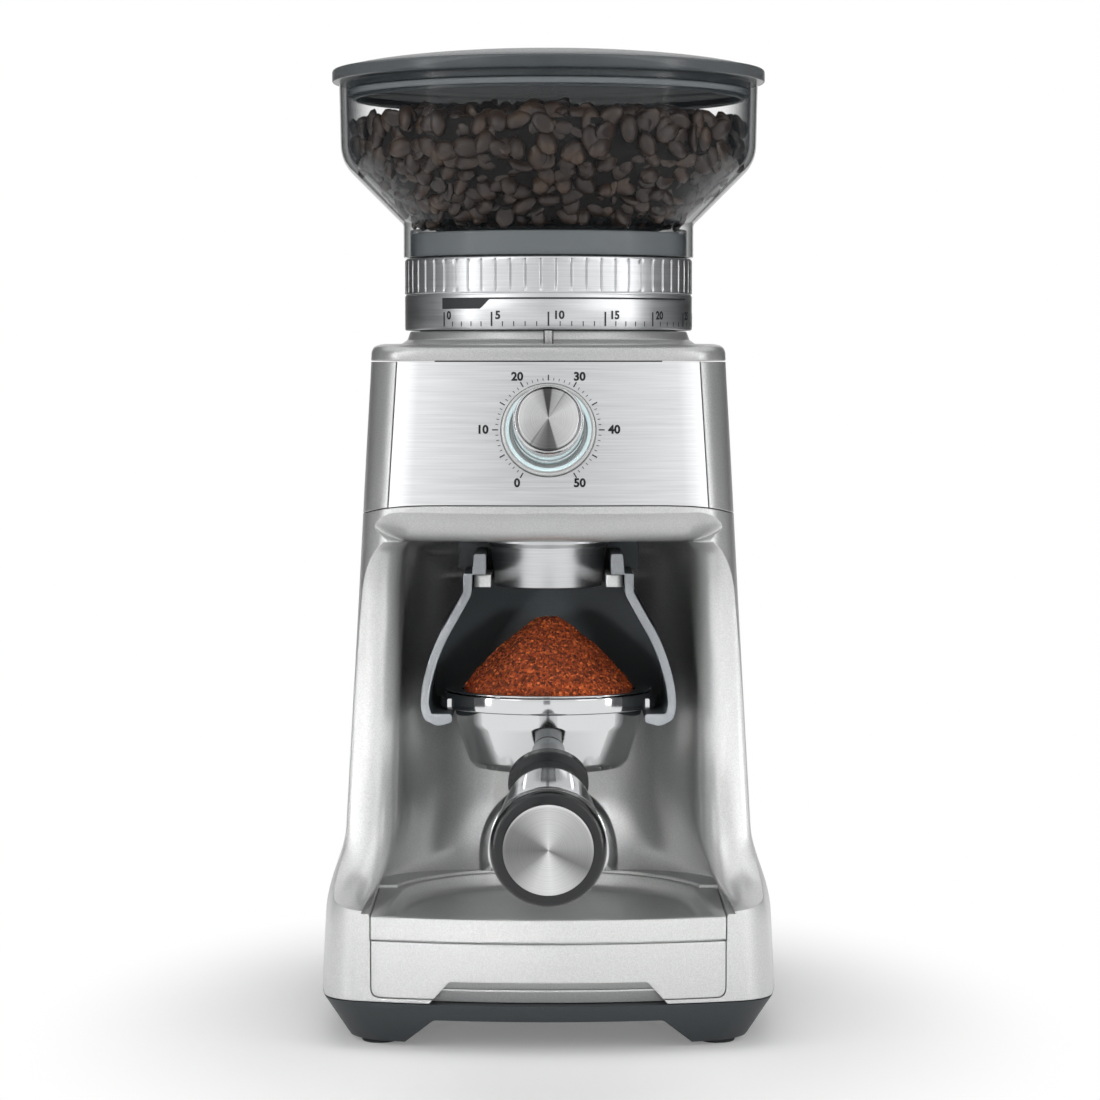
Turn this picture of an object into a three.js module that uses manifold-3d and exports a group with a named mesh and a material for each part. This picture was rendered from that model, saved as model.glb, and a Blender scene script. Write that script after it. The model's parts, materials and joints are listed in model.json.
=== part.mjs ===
// Burr coffee grinder with a bean hopper, a timed dose dial and a portafilter cradle.
// Millimetres, +Z up, front towards -Y. The burr axis is x = 0, y = 0 until the last lines,
// which centre the whole grinder on its footprint.
import * as THREE from "three";
import { mergeVertices } from "three/addons/utils/BufferGeometryUtils.js";
import Module from "manifold-3d";

const wasm = await Module();
wasm.setup();

// ---------- Driving dimensions ----------
const gap = 0.35; // clearance between neighbouring pieces
const wall = 2.6; // moulded housing wall

const floorTop = 15.7; // top of the dark base pan
const footBottom = 1.5; // underside of the moulded feet, above the rubber pads
const footTaper = 8.3; // how far the feet draw in from the base outline
const footSpan = 46.9; // half gap between left and right feet, at the floor
const archHalf = 37.3; // half width of the flat arch between the feet
const archTop = 10; // height of that arch

const deckZ = 44.5; // shoulder deck of the base
const columnHeight = 119.5; // from the deck up to the alcove ceiling
const alcoveTop = deckZ + columnHeight; // flat ceiling of the alcove
const seamZ = alcoveTop + 9.4; // where the front starts to lean back
const seamSide = seamZ - 1; // joint of lower housing and head, at its sides
const seamRise = 3.7; // how much higher that joint runs across the front
const headHeight = 50; // from the lean up to the top cap
const headTopZ = seamZ + headHeight; // joint of head and top cap
const capHeight = 6; // thickness of the top cap
const sideTaper = 0.0534; // lean of the side walls
const headHalf = 62.5; // half width of the housing at the seam
const baseFlare = 5.4; // extra half width of the base
const flareTop = 68; // where the base flare starts
const flareBottom = 40; // where it has its full width

const baseFront = 116; // base front centre, ahead of the burr axis
const baseBack = 103; // base rear
const headFront = 90; // head front centre at the seam
const columnBack = 94; // column rear at the flare
const backLean = 0.05; // how much the rear wall leans forward
const frontLean = THREE.MathUtils.degToRad(12.1); // lean of the control panel
const frontBow = 13.5; // sagitta of the bowed front over the full width
const sideBow = 4; // how far the sides draw in towards the front corners
const rearDraw = 6.4; // and towards the rear corners
const widestY = -50; // where the housing is widest
const rearBow = 5; // sagitta of the rear wall
const cornerFront = 9; // rounding of the front corners
const cornerBack = 22; // rounding of the rear corners

const alcoveHalf = 50; // half width of the alcove inside
const alcoveBack = 6; // rear wall of the alcove

const outletY = -54; // grind outlet axis
const outletRadius = 20.4; // at its lip, under the ceiling
const outletTip = 17.8; // at its lower end
const outletDrop = 16; // how far it hangs below the ceiling
const outletBottom = alcoveTop - outletDrop;
const outletWall = 2.2;
const railHalf = 24.8; // half width of the cradle rail
const railThick = 4;
const railLength = 44;

const trayRadius = 52.8; // round end of the grinds tray
const trayHalf = 57.7; // half width of the tray front
const trayTop = 43.6;
const trayBottom = 36.4;
const trayShoulderY = -42; // where the straight sides end
const plateBottom = 17.6; // lower edge of the front plate
const plateThick = 2;
const plateHalf = 57.5;
const plateCorner = 3.2;

const collarRadius = 50.3;
const collarHeight = 25;
const collarBottom = headTopZ + 10.9;
const collarTop = collarBottom + collarHeight;
const collarBand = collarBottom + 12.1; // top of the smooth scale band
const fluteCount = 60;
const fluteDepth = 0.6;
const fluteWidth = 1.0;
const towerTop = collarTop + 8.7; // opaque ring seen through the hopper neck

const hopperWall = 2.2;
const hopperNeckRadius = 50.8;
const hopperBowlRadius = 72.9;
const hopperNeckHeight = 11.9; // from the collar to the shoulder
const hopperConeHeight = 25.6; // from the shoulder to the bend
const hopperRimHeight = 23.4; // from the bend to the rim
const hopperShoulder = collarTop + hopperNeckHeight;
const hopperBend = hopperShoulder + hopperConeHeight;
const hopperTop = hopperBend + hopperRimHeight;
const throatRadius = 24;
const throatDrop = 14.6; // throat's lower end below the shoulder
const throatBottom = hopperShoulder - throatDrop;

const lidRadius = 75.6;
const lidRim = 4.6;
const lidDome = 6;
const lidSkirt = 5.6; // how far the lid plug reaches into the hopper
const beanRoom = 11.7; // from the edge of the beans up to the hopper rim
const beanHeap = 4.6; // how much higher the beans lie in the middle
const beanLevel = hopperTop - beanRoom;

const panelHalf = 52.7; // half width of the steel panel at its lower edge
const panelTopHalf = 50.1; // and at its upper edge
const panelThick = 1.0;
const dialZ = seamZ + 27.7;
const lightRingRadius = 15.5;
const knobRadius = 12;
const knobFaceRadius = 10.2;
const knobHeight = 20.3;
const knobTravel = 1.5; // travel of the start and cancel press

const toothModule = 1.6;
const motorPinionTeeth = 12;
const idlerLargeTeeth = 30;
const idlerSmallTeeth = 12;
const outputTeeth = 26;
const meshPlay = 0.3; // extra centre distance of each gear pair
const motorY = 52; // motor axis behind the burr axis
const motorRadius = 27;
const motorLength = 74;
const motorShaftRadius = 2.5;
const burrShaftRadius = 3.6;
const caseFloor = alcoveTop + 2.95; // underside of the gear case
const casePlate = 2.2;
const gearFace = 5.4; // face width of every gear
const caseTop = caseFloor + 19.25;

const chamberInner = 30;
const chamberWall = 3;
const threadRadius = 40; // running thread of the burr carrier
const chamberNeckTop = collarBottom + 19.7;
const ringBurrRadius = 27;
const ringBurrBottom = caseTop + 11;
const ringBurrHeight = 17;
const coneBurrRadius = 18.4;
const coneBurrTopRadius = 8.5;
const coneBurrBottom = caseTop + 10;
const coneBurrHeight = 26;

const cradleFront = -80;
const cradleBack = -14;
const cradleSkin = 2.5;

const rimRadius = 35.3; // portafilter rim
const rimTop = outletBottom - 34.4;
const bowlRadius = 31.5;
const bowlBottom = rimTop - 26.6;
const earRadius = 36.6;
const earBottom = rimTop - 6.3;
const earThick = 3.6;
const basketRadius = 29.2;
const heapHeight = 24.5;
const handleReach = 150; // handle end ahead of the outlet axis
const handleEndZ = bowlBottom - 8.7;
const gripRadius = 17.6;

// ---------- Solid helpers ----------
// A closed geometry as a manifold solid with its faces out.
function solidOf(geometry) {
  const loose = geometry.index ? geometry.toNonIndexed() : geometry;
  const bare = new THREE.BufferGeometry().setAttribute("position", loose.getAttribute("position"));
  const merged = mergeVertices(bare, 1e-4);
  const triangles = [];
  for (let i = 0; i < merged.index.count; i += 3) {
    const [a, b, c] = merged.index.array.subarray(i, i + 3);
    if (a !== b && b !== c && c !== a) triangles.push(a, b, c);
  }
  const build = (order) =>
    new wasm.Manifold(
      new wasm.Mesh({
        numProp: 3,
        vertProperties: merged.attributes.position.array,
        triVerts: Uint32Array.from(order),
      }),
    );
  const solid = build(triangles);
  return solid.volume() < 0 ? build(triangles.reverse()) : solid;
}

function geometryOf(solid) {
  const mesh = solid.getMesh();
  const position = new Float32Array(mesh.numVert * 3);
  for (let i = 0; i < mesh.numVert; i++) {
    const start = i * mesh.numProp;
    position.set(mesh.vertProperties.subarray(start, start + 3), i * 3);
  }
  const geometry = new THREE.BufferGeometry();
  geometry.setAttribute("position", new THREE.BufferAttribute(position, 3));
  geometry.setIndex(new THREE.BufferAttribute(Uint32Array.from(mesh.triVerts), 1));
  geometry.computeVertexNormals();
  return geometry;
}

// A profile of [radius, z] points turned about the Z axis through x, y.
function turned(profile, segments = 32, x = 0, y = 0) {
  const points = profile.map(([r, z]) => new THREE.Vector2(r, z));
  const geometry = new THREE.LatheGeometry(points, segments);
  return solidOf(geometry.rotateX(Math.PI / 2).translate(x, y, 0));
}

// A ring of rectangular section.
function ring(inner, outer, low, high, segments = 32, x = 0, y = 0) {
  const section = [[inner, low], [outer, low], [outer, high], [inner, high], [inner, low]];
  return turned(section, segments, x, y);
}

function disc(radius, low, high, segments = 32, x = 0, y = 0) {
  return turned([[0, low], [radius, low], [radius, high], [0, high]], segments, x, y);
}

function box(x0, x1, y0, y1, z0, z1) {
  const geometry = new THREE.BoxGeometry(x1 - x0, y1 - y0, z1 - z0);
  return solidOf(geometry.translate((x0 + x1) / 2, (y0 + y1) / 2, (z0 + z1) / 2));
}

// A shape drawn in x, y and raised from low to high.
function raised(shape, low, high, curveSegments = 8) {
  const options = { depth: high - low, bevelEnabled: false, curveSegments };
  return solidOf(new THREE.ExtrudeGeometry(shape, options).translate(0, 0, low));
}

// A shape drawn in x, z and drawn out along Y from front to back.
function alongY(shape, front, back, curveSegments = 8) {
  const options = { depth: back - front, bevelEnabled: false, curveSegments };
  const geometry = new THREE.ExtrudeGeometry(shape, options);
  return solidOf(geometry.rotateX(Math.PI / 2).translate(0, back, 0));
}

// A shape drawn in y, z and drawn out along X from left to right.
function alongX(shape, left, right, curveSegments = 8) {
  const options = { depth: right - left, bevelEnabled: false, curveSegments };
  const geometry = new THREE.ExtrudeGeometry(shape, options);
  return solidOf(geometry.rotateX(Math.PI / 2).rotateZ(Math.PI / 2).translate(left, 0, 0));
}

function polygon(points) {
  return new THREE.Shape(points.map(([x, y]) => new THREE.Vector2(x, y)));
}

function roundedRect(x0, x1, y0, y1, radius) {
  const shape = new THREE.Shape();
  shape.moveTo(x0 + radius, y0);
  shape.lineTo(x1 - radius, y0);
  shape.absarc(x1 - radius, y0 + radius, radius, -Math.PI / 2, 0);
  shape.lineTo(x1, y1 - radius);
  shape.absarc(x1 - radius, y1 - radius, radius, 0, Math.PI / 2);
  shape.lineTo(x0 + radius, y1);
  shape.absarc(x0 + radius, y1 - radius, radius, Math.PI / 2, Math.PI);
  shape.lineTo(x0, y0 + radius);
  shape.absarc(x0 + radius, y0 + radius, radius, Math.PI, Math.PI * 1.5);
  return shape;
}

// The corner points of a rounded rectangle, with a few steps round each corner.
function roundedPoints(x0, x1, y0, y1, radius, steps = 3) {
  const corners = [[x1, y0, -1], [x1, y1, 0], [x0, y1, 1], [x0, y0, 2]];
  return corners.flatMap(([x, y, quarter]) =>
    Array.from({ length: steps + 1 }, (_, i) => {
      const angle = (Math.PI / 2) * (quarter + i / steps);
      const centreX = x === x1 ? x1 - radius : x0 + radius;
      const centreY = y === y1 ? y1 - radius : y0 + radius;
      return [centreX + radius * Math.cos(angle), centreY + radius * Math.sin(angle)];
    }));
}

// A skin over a stack of outlines with equal point counts; each is { z, points: [[x, y], ...] }.
function lofted(sections) {
  const count = sections[0].points.length;
  const position = [];
  for (const { z, points } of sections) for (const [x, y] of points) position.push(x, y, z);
  const index = [];
  for (let level = 0; level < sections.length - 1; level++) {
    for (let i = 0; i < count; i++) {
      const a = level * count + i;
      const b = level * count + ((i + 1) % count);
      index.push(a, b, b + count, a, b + count, a + count);
    }
  }
  const last = (sections.length - 1) * count;
  for (const [start, section] of [[0, sections[0]], [last, sections.at(-1)]]) {
    const contour = section.points.map(([x, y]) => new THREE.Vector2(x, y));
    for (const [a, b, c] of THREE.ShapeUtils.triangulateShape(contour, [])) {
      if (start === 0) index.push(c, b, a);
      else index.push(start + a, start + b, start + c);
    }
  }
  const geometry = new THREE.BufferGeometry();
  geometry.setAttribute("position", new THREE.BufferAttribute(new Float32Array(position), 3));
  geometry.setIndex(index);
  return solidOf(geometry);
}

// A solid moved by a matrix.
function placed(solid, matrix) {
  return solidOf(geometryOf(solid).applyMatrix4(matrix));
}

// A bar whose centre follows a curve; stations are [share of the curve, half width, half height].
function spindle(curve, stations, segments = 16) {
  const rings = stations.map(([share, across, high = across]) => {
    const centre = curve.getPointAt(share);
    const along = curve.getTangentAt(share);
    const side = new THREE.Vector3(1, 0, 0);
    const up = new THREE.Vector3().crossVectors(along, side).normalize();
    return Array.from({ length: segments }, (_, i) => {
      const angle = (2 * Math.PI * i) / segments;
      return centre.clone()
        .addScaledVector(side, across * Math.cos(angle))
        .addScaledVector(up, high * Math.sin(angle));
    });
  });
  const position = rings.flat().flatMap((p) => p.toArray());
  const ends = [curve.getPointAt(stations[0][0]), curve.getPointAt(stations.at(-1)[0])];
  position.push(...ends[0].toArray(), ...ends[1].toArray());
  const index = [];
  const firstEnd = rings.length * segments;
  for (let i = 0; i < segments; i++) {
    const next = (i + 1) % segments;
    for (let level = 0; level < rings.length - 1; level++) {
      const a = level * segments + i;
      const b = level * segments + next;
      index.push(a, b, b + segments, a, b + segments, a + segments);
    }
    const last = (rings.length - 1) * segments;
    index.push(firstEnd, next, i, firstEnd + 1, last + i, last + next);
  }
  const geometry = new THREE.BufferGeometry();
  geometry.setAttribute("position", new THREE.BufferAttribute(new Float32Array(position), 3));
  geometry.setIndex(index);
  return solidOf(geometry);
}

function joined(...solids) {
  return solids.reduce((sum, solid) => sum.add(solid));
}

// ---------- Materials ----------
function finish(color, roughness, metalness, extra = {}) {
  return new THREE.MeshStandardMaterial({ color, roughness, metalness, ...extra });
}
const silverPaint = finish(0xb9bcbe, 0.38, 0.7);
const brushedSteel = finish(0xc9cbcd, 0.3, 1);
const polishedSteel = finish(0xe2e4e5, 0.08, 1);
const darkPlastic = finish(0x34383b, 0.5, 0);
const blackPlastic = finish(0x141617, 0.35, 0);
const smokedPlastic = finish(0x5a6166, 0.12, 0, { transparent: true, opacity: 0.45 });
const lidPlastic = finish(0x565d61, 0.4, 0);
const softSeal = finish(0x9aa0a2, 0.7, 0);
const rubber = finish(0x1d1f20, 0.85, 0);
const beanBrown = finish(0x2d1c12, 0.45, 0);
const groundsBrown = finish(0x6a2f14, 0.95, 0);
const lampWhite = finish(0xdff4f6, 0.4, 0, { emissive: 0xbfe8ee });
const boardGreen = finish(0x1e5a3a, 0.6, 0);
const copperBrown = finish(0x8a5a34, 0.4, 0.6);
const nylonWhite = finish(0xd9d7cf, 0.55, 0);
const greySteel = finish(0x8d9194, 0.35, 1);

// ---------- Housing form ----------
const beyond = 150; // cutting bodies end this far out, past every wall
const smooth = (from, to, value) => THREE.MathUtils.smoothstep(value, from, to);
const mix = THREE.MathUtils.lerp;

// Sizes of the housing outline at height z.
function outlineAt(z) {
  const flare = 1 - smooth(flareBottom, flareTop, z);
  const lean = Math.tan(frontLean);
  const inHead = headFront - (z - seamZ) * lean;
  const front = z >= seamZ ? inHead : mix(baseFront, headFront, smooth(deckZ, seamZ, z));
  const back = columnBack - (z - flareTop) * backLean;
  return {
    half: headHalf + (seamZ - z) * sideTaper + baseFlare * flare,
    front: Math.min(front, baseFront),
    back: mix(back, baseBack, flare),
    bow: frontBow * mix(0.62, 1, flare),
  };
}

// The closed outline: bowed front, slightly bowed sides, flatter back and rounded corners.
function housingOutline(z, inset = 0) {
  const { half, front, back, bow } = outlineAt(z);
  const w = half - inset;
  const f = front - inset;
  const b = back - inset;
  const frontY = (x) => -f + bow * (x / w) ** 2;
  const backY = (x) => b - rearBow * (x / w) ** 2;
  const frontCorner = [w - sideBow, frontY(w)];
  const backCorner = [w - rearDraw, backY(w)];
  const widest = (widestY - frontCorner[1]) / (backCorner[1] - frontCorner[1]);
  const sideX = (t) => (t < widest
    ? w - sideBow * ((widest - t) / widest) ** 2
    : w - rearDraw * ((t - widest) / (1 - widest)) ** 2);
  const cornerAt = (a, control, c) => {
    const curve = new THREE.QuadraticBezierCurve(
      new THREE.Vector2(...a), new THREE.Vector2(...control), new THREE.Vector2(...c));
    return curve.getPoints(2).map((p) => [p.x, p.y]);
  };
  const points = [];
  const steps = 3; // flat runs across the front
  const lastFront = frontCorner[0] - cornerFront;
  for (let i = 0; i < steps; i++) points.push([(lastFront * i) / steps, frontY((lastFront * i) / steps)]);
  const sideY = (t) => mix(frontCorner[1], backCorner[1], t);
  const depth = backCorner[1] - frontCorner[1];
  const t0 = cornerFront / depth;
  const t1 = 1 - cornerBack / depth;
  points.push(...cornerAt([lastFront, frontY(lastFront)], frontCorner, [sideX(t0), sideY(t0)]));
  for (const t of [widest, mix(widest, t1, 0.5)]) points.push([sideX(t), sideY(t)]);
  const lastBack = backCorner[0] - cornerBack;
  points.push(...cornerAt([sideX(t1), sideY(t1)], backCorner, [lastBack, backY(lastBack)]));
  for (let i = 1; i <= 2; i++) {
    const x = lastBack * (1 - i / 2);
    points.push([x, backY(x)]);
  }
  const mirrored = points.slice(1, -1).reverse().map(([x, y]) => [-x, y]);
  return [...points, ...mirrored];
}

function housingBlock(levels, inset = 0) {
  return lofted(levels.map((z) => ({ z, points: housingOutline(z, inset) })));
}

// Everything in front of the alcove walls at one level: the alcove and the air ahead of the
// two cheeks, whose noses are half ellipses.
function alcoveOutline({ z, nose, half, back, round, roll = cheekRoll, arch = alcoveArch }) {
  const outer = outlineAt(z).half + 2.5;
  const middle = (outer + half) / 2;
  const reach = (outer - half) / 2;
  const radius = Math.min(round, half - 4);
  const aside = outer + 40;
  const points = [[aside, -beyond - 15], [aside, nose + roll]];
  const noseSteps = 4;
  for (let i = 0; i <= noseSteps; i++) {
    const angle = (Math.PI * i) / noseSteps;
    points.push([middle + reach * Math.cos(angle), nose + roll * (1 - Math.sin(angle))]);
  }
  const cornerSteps = 3;
  for (let i = 0; i <= cornerSteps; i++) {
    const angle = (Math.PI / 2) * (i / cornerSteps);
    const x = half - radius + radius * Math.cos(angle);
    const drop = arch * (x / half) ** 2;
    points.push([x, Math.max(back - drop - radius + radius * Math.sin(angle), nose + roll + 0.4 + i * 0.1)]);
  }
  points.push([(half - radius) / 2, back - arch * ((half - radius) / 2 / half) ** 2]);
  const mirrored = points.slice().reverse().map(([x, y]) => [-x, y]);
  return [...points, ...mirrored];
}

const cheekRoll = 11; // depth of the half ellipse that rounds each cheek's front
const alcoveArch = 1.5; // how much deeper the rear wall is in the middle
const browBow = frontBow * 0.62; // the brow follows the bowed front
// The brow's depth behind the front, and half its width, at heights above the ceiling.
const browLevel = (rise, depth, half) => ({
  z: alcoveTop + rise, nose: -headFront + 6 - rise * 0.4, roll: 4, half, back: depth - headFront, round: 3, arch: -browBow,
});

const alcoveLevels = [
  { z: deckZ, nose: -beyond, half: 61, back: -4, round: 40 },
  { z: deckZ + 1.2, nose: -106, half: 60, back: -2.4, round: 40 },
  { z: deckZ + 4.5, nose: -95, half: 57, back: 1, round: 38 },
  { z: deckZ + 10, nose: -86, half: 54, back: 3.8, round: 36 },
  { z: deckZ + 22, nose: -78.5, half: 51, back: alcoveBack, round: 34 },
  { z: deckZ + 58, nose: -74, half: alcoveHalf, back: alcoveBack, round: 34 },
  { z: alcoveTop - 18, nose: -76, half: alcoveHalf - 0.4, back: alcoveBack, round: 34 },
  { z: alcoveTop - 4, nose: -80.5, half: alcoveHalf - 1.4, back: 4, round: 34 },
  { z: alcoveTop, nose: -83, half: alcoveHalf - 4, back: -4, round: 32 },
  browLevel(0.3, 6.5, 48),
  browLevel(1.6, 5, 53),
  browLevel(4, 3.3, 57),
  browLevel(7, 1.6, 59.5),
  browLevel(9.9, -0.2, 60.5),
];

function alcoveBlock() {
  return lofted(alcoveLevels.map((level) => ({ z: level.z, points: alcoveOutline(level) })));
}

// The tray bay: straight sides at the front and a round end behind.
function trayShape(grow = 0, front = -beyond) {
  const radius = trayRadius + grow;
  const half = trayHalf + grow;
  const shoulder = trayShoulderY + grow;
  const meet = Math.asin((shoulder - outletY) / radius);
  const shape = new THREE.Shape();
  shape.moveTo(-half, front);
  shape.lineTo(half, front);
  shape.lineTo(half, shoulder);
  shape.absarc(0, outletY, radius, meet, Math.PI - meet);
  shape.lineTo(-half, shoulder);
  return shape;
}

// The joint of lower housing and head: level across the front, lower round the corners.
const seamAt = (x) => seamSide + seamRise * (1 - Math.min(1, Math.abs(x / headHalf)) ** 8);
const seamStations = [0, 0.7, 0.85, 0.93, 1].map((share) => share * headHalf);

// The region above or below that joint.
function seamShape(above, offset) {
  const reach = 90;
  const far = above ? 260 : 0;
  const half = [...seamStations, reach].map((x) => [x, seamAt(x) + offset]);
  const left = half.slice(1).reverse().map(([x, z]) => [-x, z]);
  return polygon([[-reach, far], ...left, ...half, [reach, far]]);
}

const grinder = new THREE.Group();
function piece(name, solid, material, parent = grinder) {
  const mesh = new THREE.Mesh(geometryOf(solid), material);
  mesh.name = name;
  parent.add(mesh);
  return mesh;
}

// ---------- Base pan and rubber feet ----------
function basePan() {
  const top = floorTop;
  const block = lofted([
    { z: footBottom, points: housingOutline(floorTop, footTaper) },
    { z: top, points: housingOutline(floorTop) },
  ]);
  const slope = (footSpan - archHalf) / (archTop - footBottom);
  const low = footSpan + slope * (footBottom + 1);
  const across = polygon([[-low, -1], [low, -1], [archHalf, archTop], [-archHalf, archTop]]);
  const alongFront = polygon([
    [-baseFront + 36 - slope * 8, -1], [baseBack - 36 + slope * 8, -1],
    [baseBack - 36 - slope * 2, archTop], [-baseFront + 36 + slope * 2, archTop]]);
  const pocket = lofted([
    { z: archTop + 2.4, points: housingOutline(floorTop, 8) },
    { z: top + 1, points: housingOutline(floorTop, 4) },
  ]);
  return block
    .subtract(alongY(across, -beyond, beyond))
    .subtract(alongX(alongFront, -beyond, beyond))
    .subtract(pocket)
    .subtract(joined(...footCentres.map(([x, y]) => disc(padRadius + gap, -1, padTop + gap, 12, x, y))));
}
const padRadius = 6;
const padTop = 3.2;
const footCentres = [
  [-55.5, -90], [55.5, -90], [-55.5, 80], [55.5, 80],
];
piece("base_pan", basePan(), darkPlastic);
["front_left", "front_right", "rear_left", "rear_right"].forEach((place, i) => {
  const [x, y] = footCentres[i];
  const profile = [[0, 0], [padRadius - 0.8, 0], [padRadius, 0.8], [padRadius, padTop], [0, padTop]];
  piece(`foot_pad_${place}`, turned(profile, 10, x, y), rubber);
});

// ---------- Lower housing with its alcove ----------
const lowerLevels = [floorTop + gap, flareBottom, 47, 54, 61, flareTop, mix(flareTop, seamZ, 0.4), seamZ + 3];
const plateRegion = (grow) =>
  roundedRect(-plateHalf - grow, plateHalf + grow, plateBottom - grow, 44, plateCorner);
// The undercut below the middle of the front, which follows the bow of the base.
function archUndercut() {
  const top = 23.2;
  const region = alongY(polygon([[-40.5, 14], [40.5, 14], [32, top], [-32, top]]), -130, -90);
  const kept = lofted([
    { z: 13, points: housingOutline(20, 7) },
    { z: top + 0.5, points: housingOutline(20) },
  ]);
  return region.subtract(kept);
}
const bayFloor = trayBottom - gap;
const bayShape = trayShape(gap);
const coverRegion = (grow) => roundedRect(-coverHalf - grow, coverHalf + grow, coverFoot - grow, coverHead + grow, 7);

const coverHalf = 42; // rear service cover
const coverFoot = flareTop + 3;
const coverHead = alcoveTop - 4;

function lowerHousing() {
  const outer = housingBlock(lowerLevels);
  const insideLevels = [floorTop, flareBottom, flareTop, seamZ + 4];
  // Hollow under the tray bay, in the column and above the alcove; the cheeks stay solid.
  const inside = housingBlock(insideLevels, wall)
    .subtract(box(-beyond, beyond, -beyond, alcoveBack + wall, bayFloor - wall, alcoveTop + wall))
    .subtract(box(-beyond, beyond, -beyond, -baseFront + 18, 0, 60))
    .subtract(box(-beyond, beyond, -beyond, -headFront + 14, alcoveTop, seamZ + 6));
  const plateSeat = alongY(plateRegion(gap), -beyond, -90, 2)
    .subtract(housingBlock([14, 30, 45], plateThick + gap));
  const coverHole = alongY(coverRegion(gap), 60, 130, 2);
  return outer
    .subtract(alcoveBlock())
    .subtract(raised(bayShape, bayFloor, 60, 9))
    .subtract(inside)
    .subtract(plateSeat)
    .subtract(coverHole)
    .subtract(archUndercut())
    .subtract(alongY(seamShape(true, 0), -beyond, beyond))
    .subtract(disc(outletRadius + gap, alcoveTop - 8, alcoveTop + 12, 24, 0, outletY))
    .subtract(triggerBore(triggerRadius + gap))
    .subtract(placed(disc(glandRadius + gap, -20, 20, 12), glandPlace));
}

const glandZ = 26;
const glandRadius = 5.5;
// Local +Z points out of the rear wall at the mains lead.
const glandPlace = new THREE.Matrix4()
  .makeRotationX(-Math.PI / 2)
  .setPosition(0, outlineAt(glandZ).back, glandZ);
const triggerRadius = 5;
const triggerZ = rimTop - 4.1;
// A round bore along Y at the trigger's place.
function triggerBore(radius, front = -2, back = 30) {
  const hole = new THREE.Shape().absarc(0, triggerZ, radius, 0, Math.PI * 2);
  return alongY(hole, front, back, 7);
}
piece("lower_housing", lowerHousing(), silverPaint);

function frontPlate() {
  return housingBlock([14, 30, 45], 0)
    .intersect(alongY(plateRegion(0), -beyond, -90, 2))
    .subtract(housingBlock([13, 30, 46], plateThick))
    .subtract(archUndercut())
    .subtract(box(-80, 80, -beyond, -80, bayFloor - 0.35, 60));
}
piece("front_plate", frontPlate(), silverPaint);

function rearCover() {
  const slots = [];
  for (let i = 0; i < 5; i++) {
    const z = coverFoot + 8 + i * 8;
    slots.push(box(-24, 24, 60, 130, z, z + 3));
  }
  return housingBlock([flareTop, seamZ - 4], 0)
    .intersect(alongY(coverRegion(0), 60, 130, 2))
    .subtract(housingBlock([flareTop - 1, seamZ - 3], wall))
    .subtract(joined(...slots));
}
piece("rear_cover", rearCover(), silverPaint);

// A tapered bush in the rear wall for the mains lead.
const leadRadius = 3.6;
function cordGland() {
  const profile = [
    [leadRadius, -7], [glandRadius + 2, -7], [glandRadius + 2, -wall - gap], [glandRadius, -wall - gap],
    [glandRadius, gap], [glandRadius + 1.5, gap], [leadRadius + 1.2, 3], [leadRadius, 3], [leadRadius, -7]];
  return placed(turned(profile, 12), glandPlace);
}
piece("cord_gland", cordGland(), rubber);

// ---------- Head housing, top cap and control panel ----------
const panelInset = 0.3; // how deep the panel lies in its frame
// The panel fills the head's front between the joint below it and the top cap.
function panelShape(grow = 0) {
  const wide = panelHalf + grow;
  const narrow = panelTopHalf + grow;
  const low = [...seamStations.filter((x) => x < wide), wide].map((x) => [x, seamAt(x) + gap - grow]);
  const left = low.slice(1).reverse().map(([x, z]) => [-x, z]);
  return polygon([...left, ...low, [narrow, headTopZ + grow], [-narrow, headTopZ + grow]]);
}
const headLevels = [seamZ - 4, seamZ, headTopZ];
const lean = Math.tan(frontLean);
const dialSurface = headFront - (dialZ - seamZ) * lean;
// Local +Z becomes the panel's outward normal, with the dial centre on its surface.
const ontoPanel = new THREE.Matrix4()
  .makeRotationX(Math.PI / 2 - frontLean)
  .setPosition(0, -dialSurface, dialZ);
const shaftRadius = 3;

function headHousing() {
  const outer = housingBlock(headLevels);
  const inside = housingBlock([seamZ - 5, seamZ, headTopZ + 1], wall);
  const seat = alongY(panelShape(gap), -120, -55, 4)
    .subtract(housingBlock([seamZ - 5, seamZ, headTopZ + 1], panelInset + panelThick + gap));
  return outer
    .subtract(inside)
    .subtract(seat)
    .subtract(alongY(seamShape(false, gap), -beyond, beyond))
    .subtract(placed(disc(shaftRadius + 0.6, -9, 5, 16), ontoPanel));
}
piece("head_housing", headHousing(), silverPaint);

const capLow = headTopZ + gap;
const capHigh = headTopZ + capHeight;
const neckRadius = 48.6; // top of the flared neck under the collar
const neckFlare = 51.5;
const ringOuter = collarRadius - 5.3; // outside of the adjusting ring
function topCap() {
  const edge = (z, inset) => ({ z, points: housingOutline(headTopZ, inset) });
  const slab = lofted([
    edge(capLow, 0), edge(capLow + 3.4, 0.3), edge(capLow + 4.8, 1.3), edge(capHigh, 3.9)]);
  const hollow = lofted([edge(capLow - 1, wall), edge(capHigh - wall, 3.9 + wall)]);
  const neckTop = collarBottom - gap;
  const neck = turned([
    [0, capHigh - 2], [neckFlare, capHigh - 2], [neckFlare, capHigh], [neckRadius + 0.8, capHigh + 2],
    [neckRadius, neckTop], [0, neckTop]], 28);
  const seat = disc(ringOuter + wall, capLow, capHigh - 2, 28);
  return slab.subtract(hollow).add(neck.add(seat))
    .subtract(disc(ringOuter + gap, capLow - 2, neckTop + 1, 28))
    .subtract(box(-pointerHalf - gap, pointerHalf + gap, -60, -neckRadius + 1, capHigh - 1.2, neckTop + 1));
}
const pointerHalf = 1.25;
piece("top_cap", topCap(), silverPaint);
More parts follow.
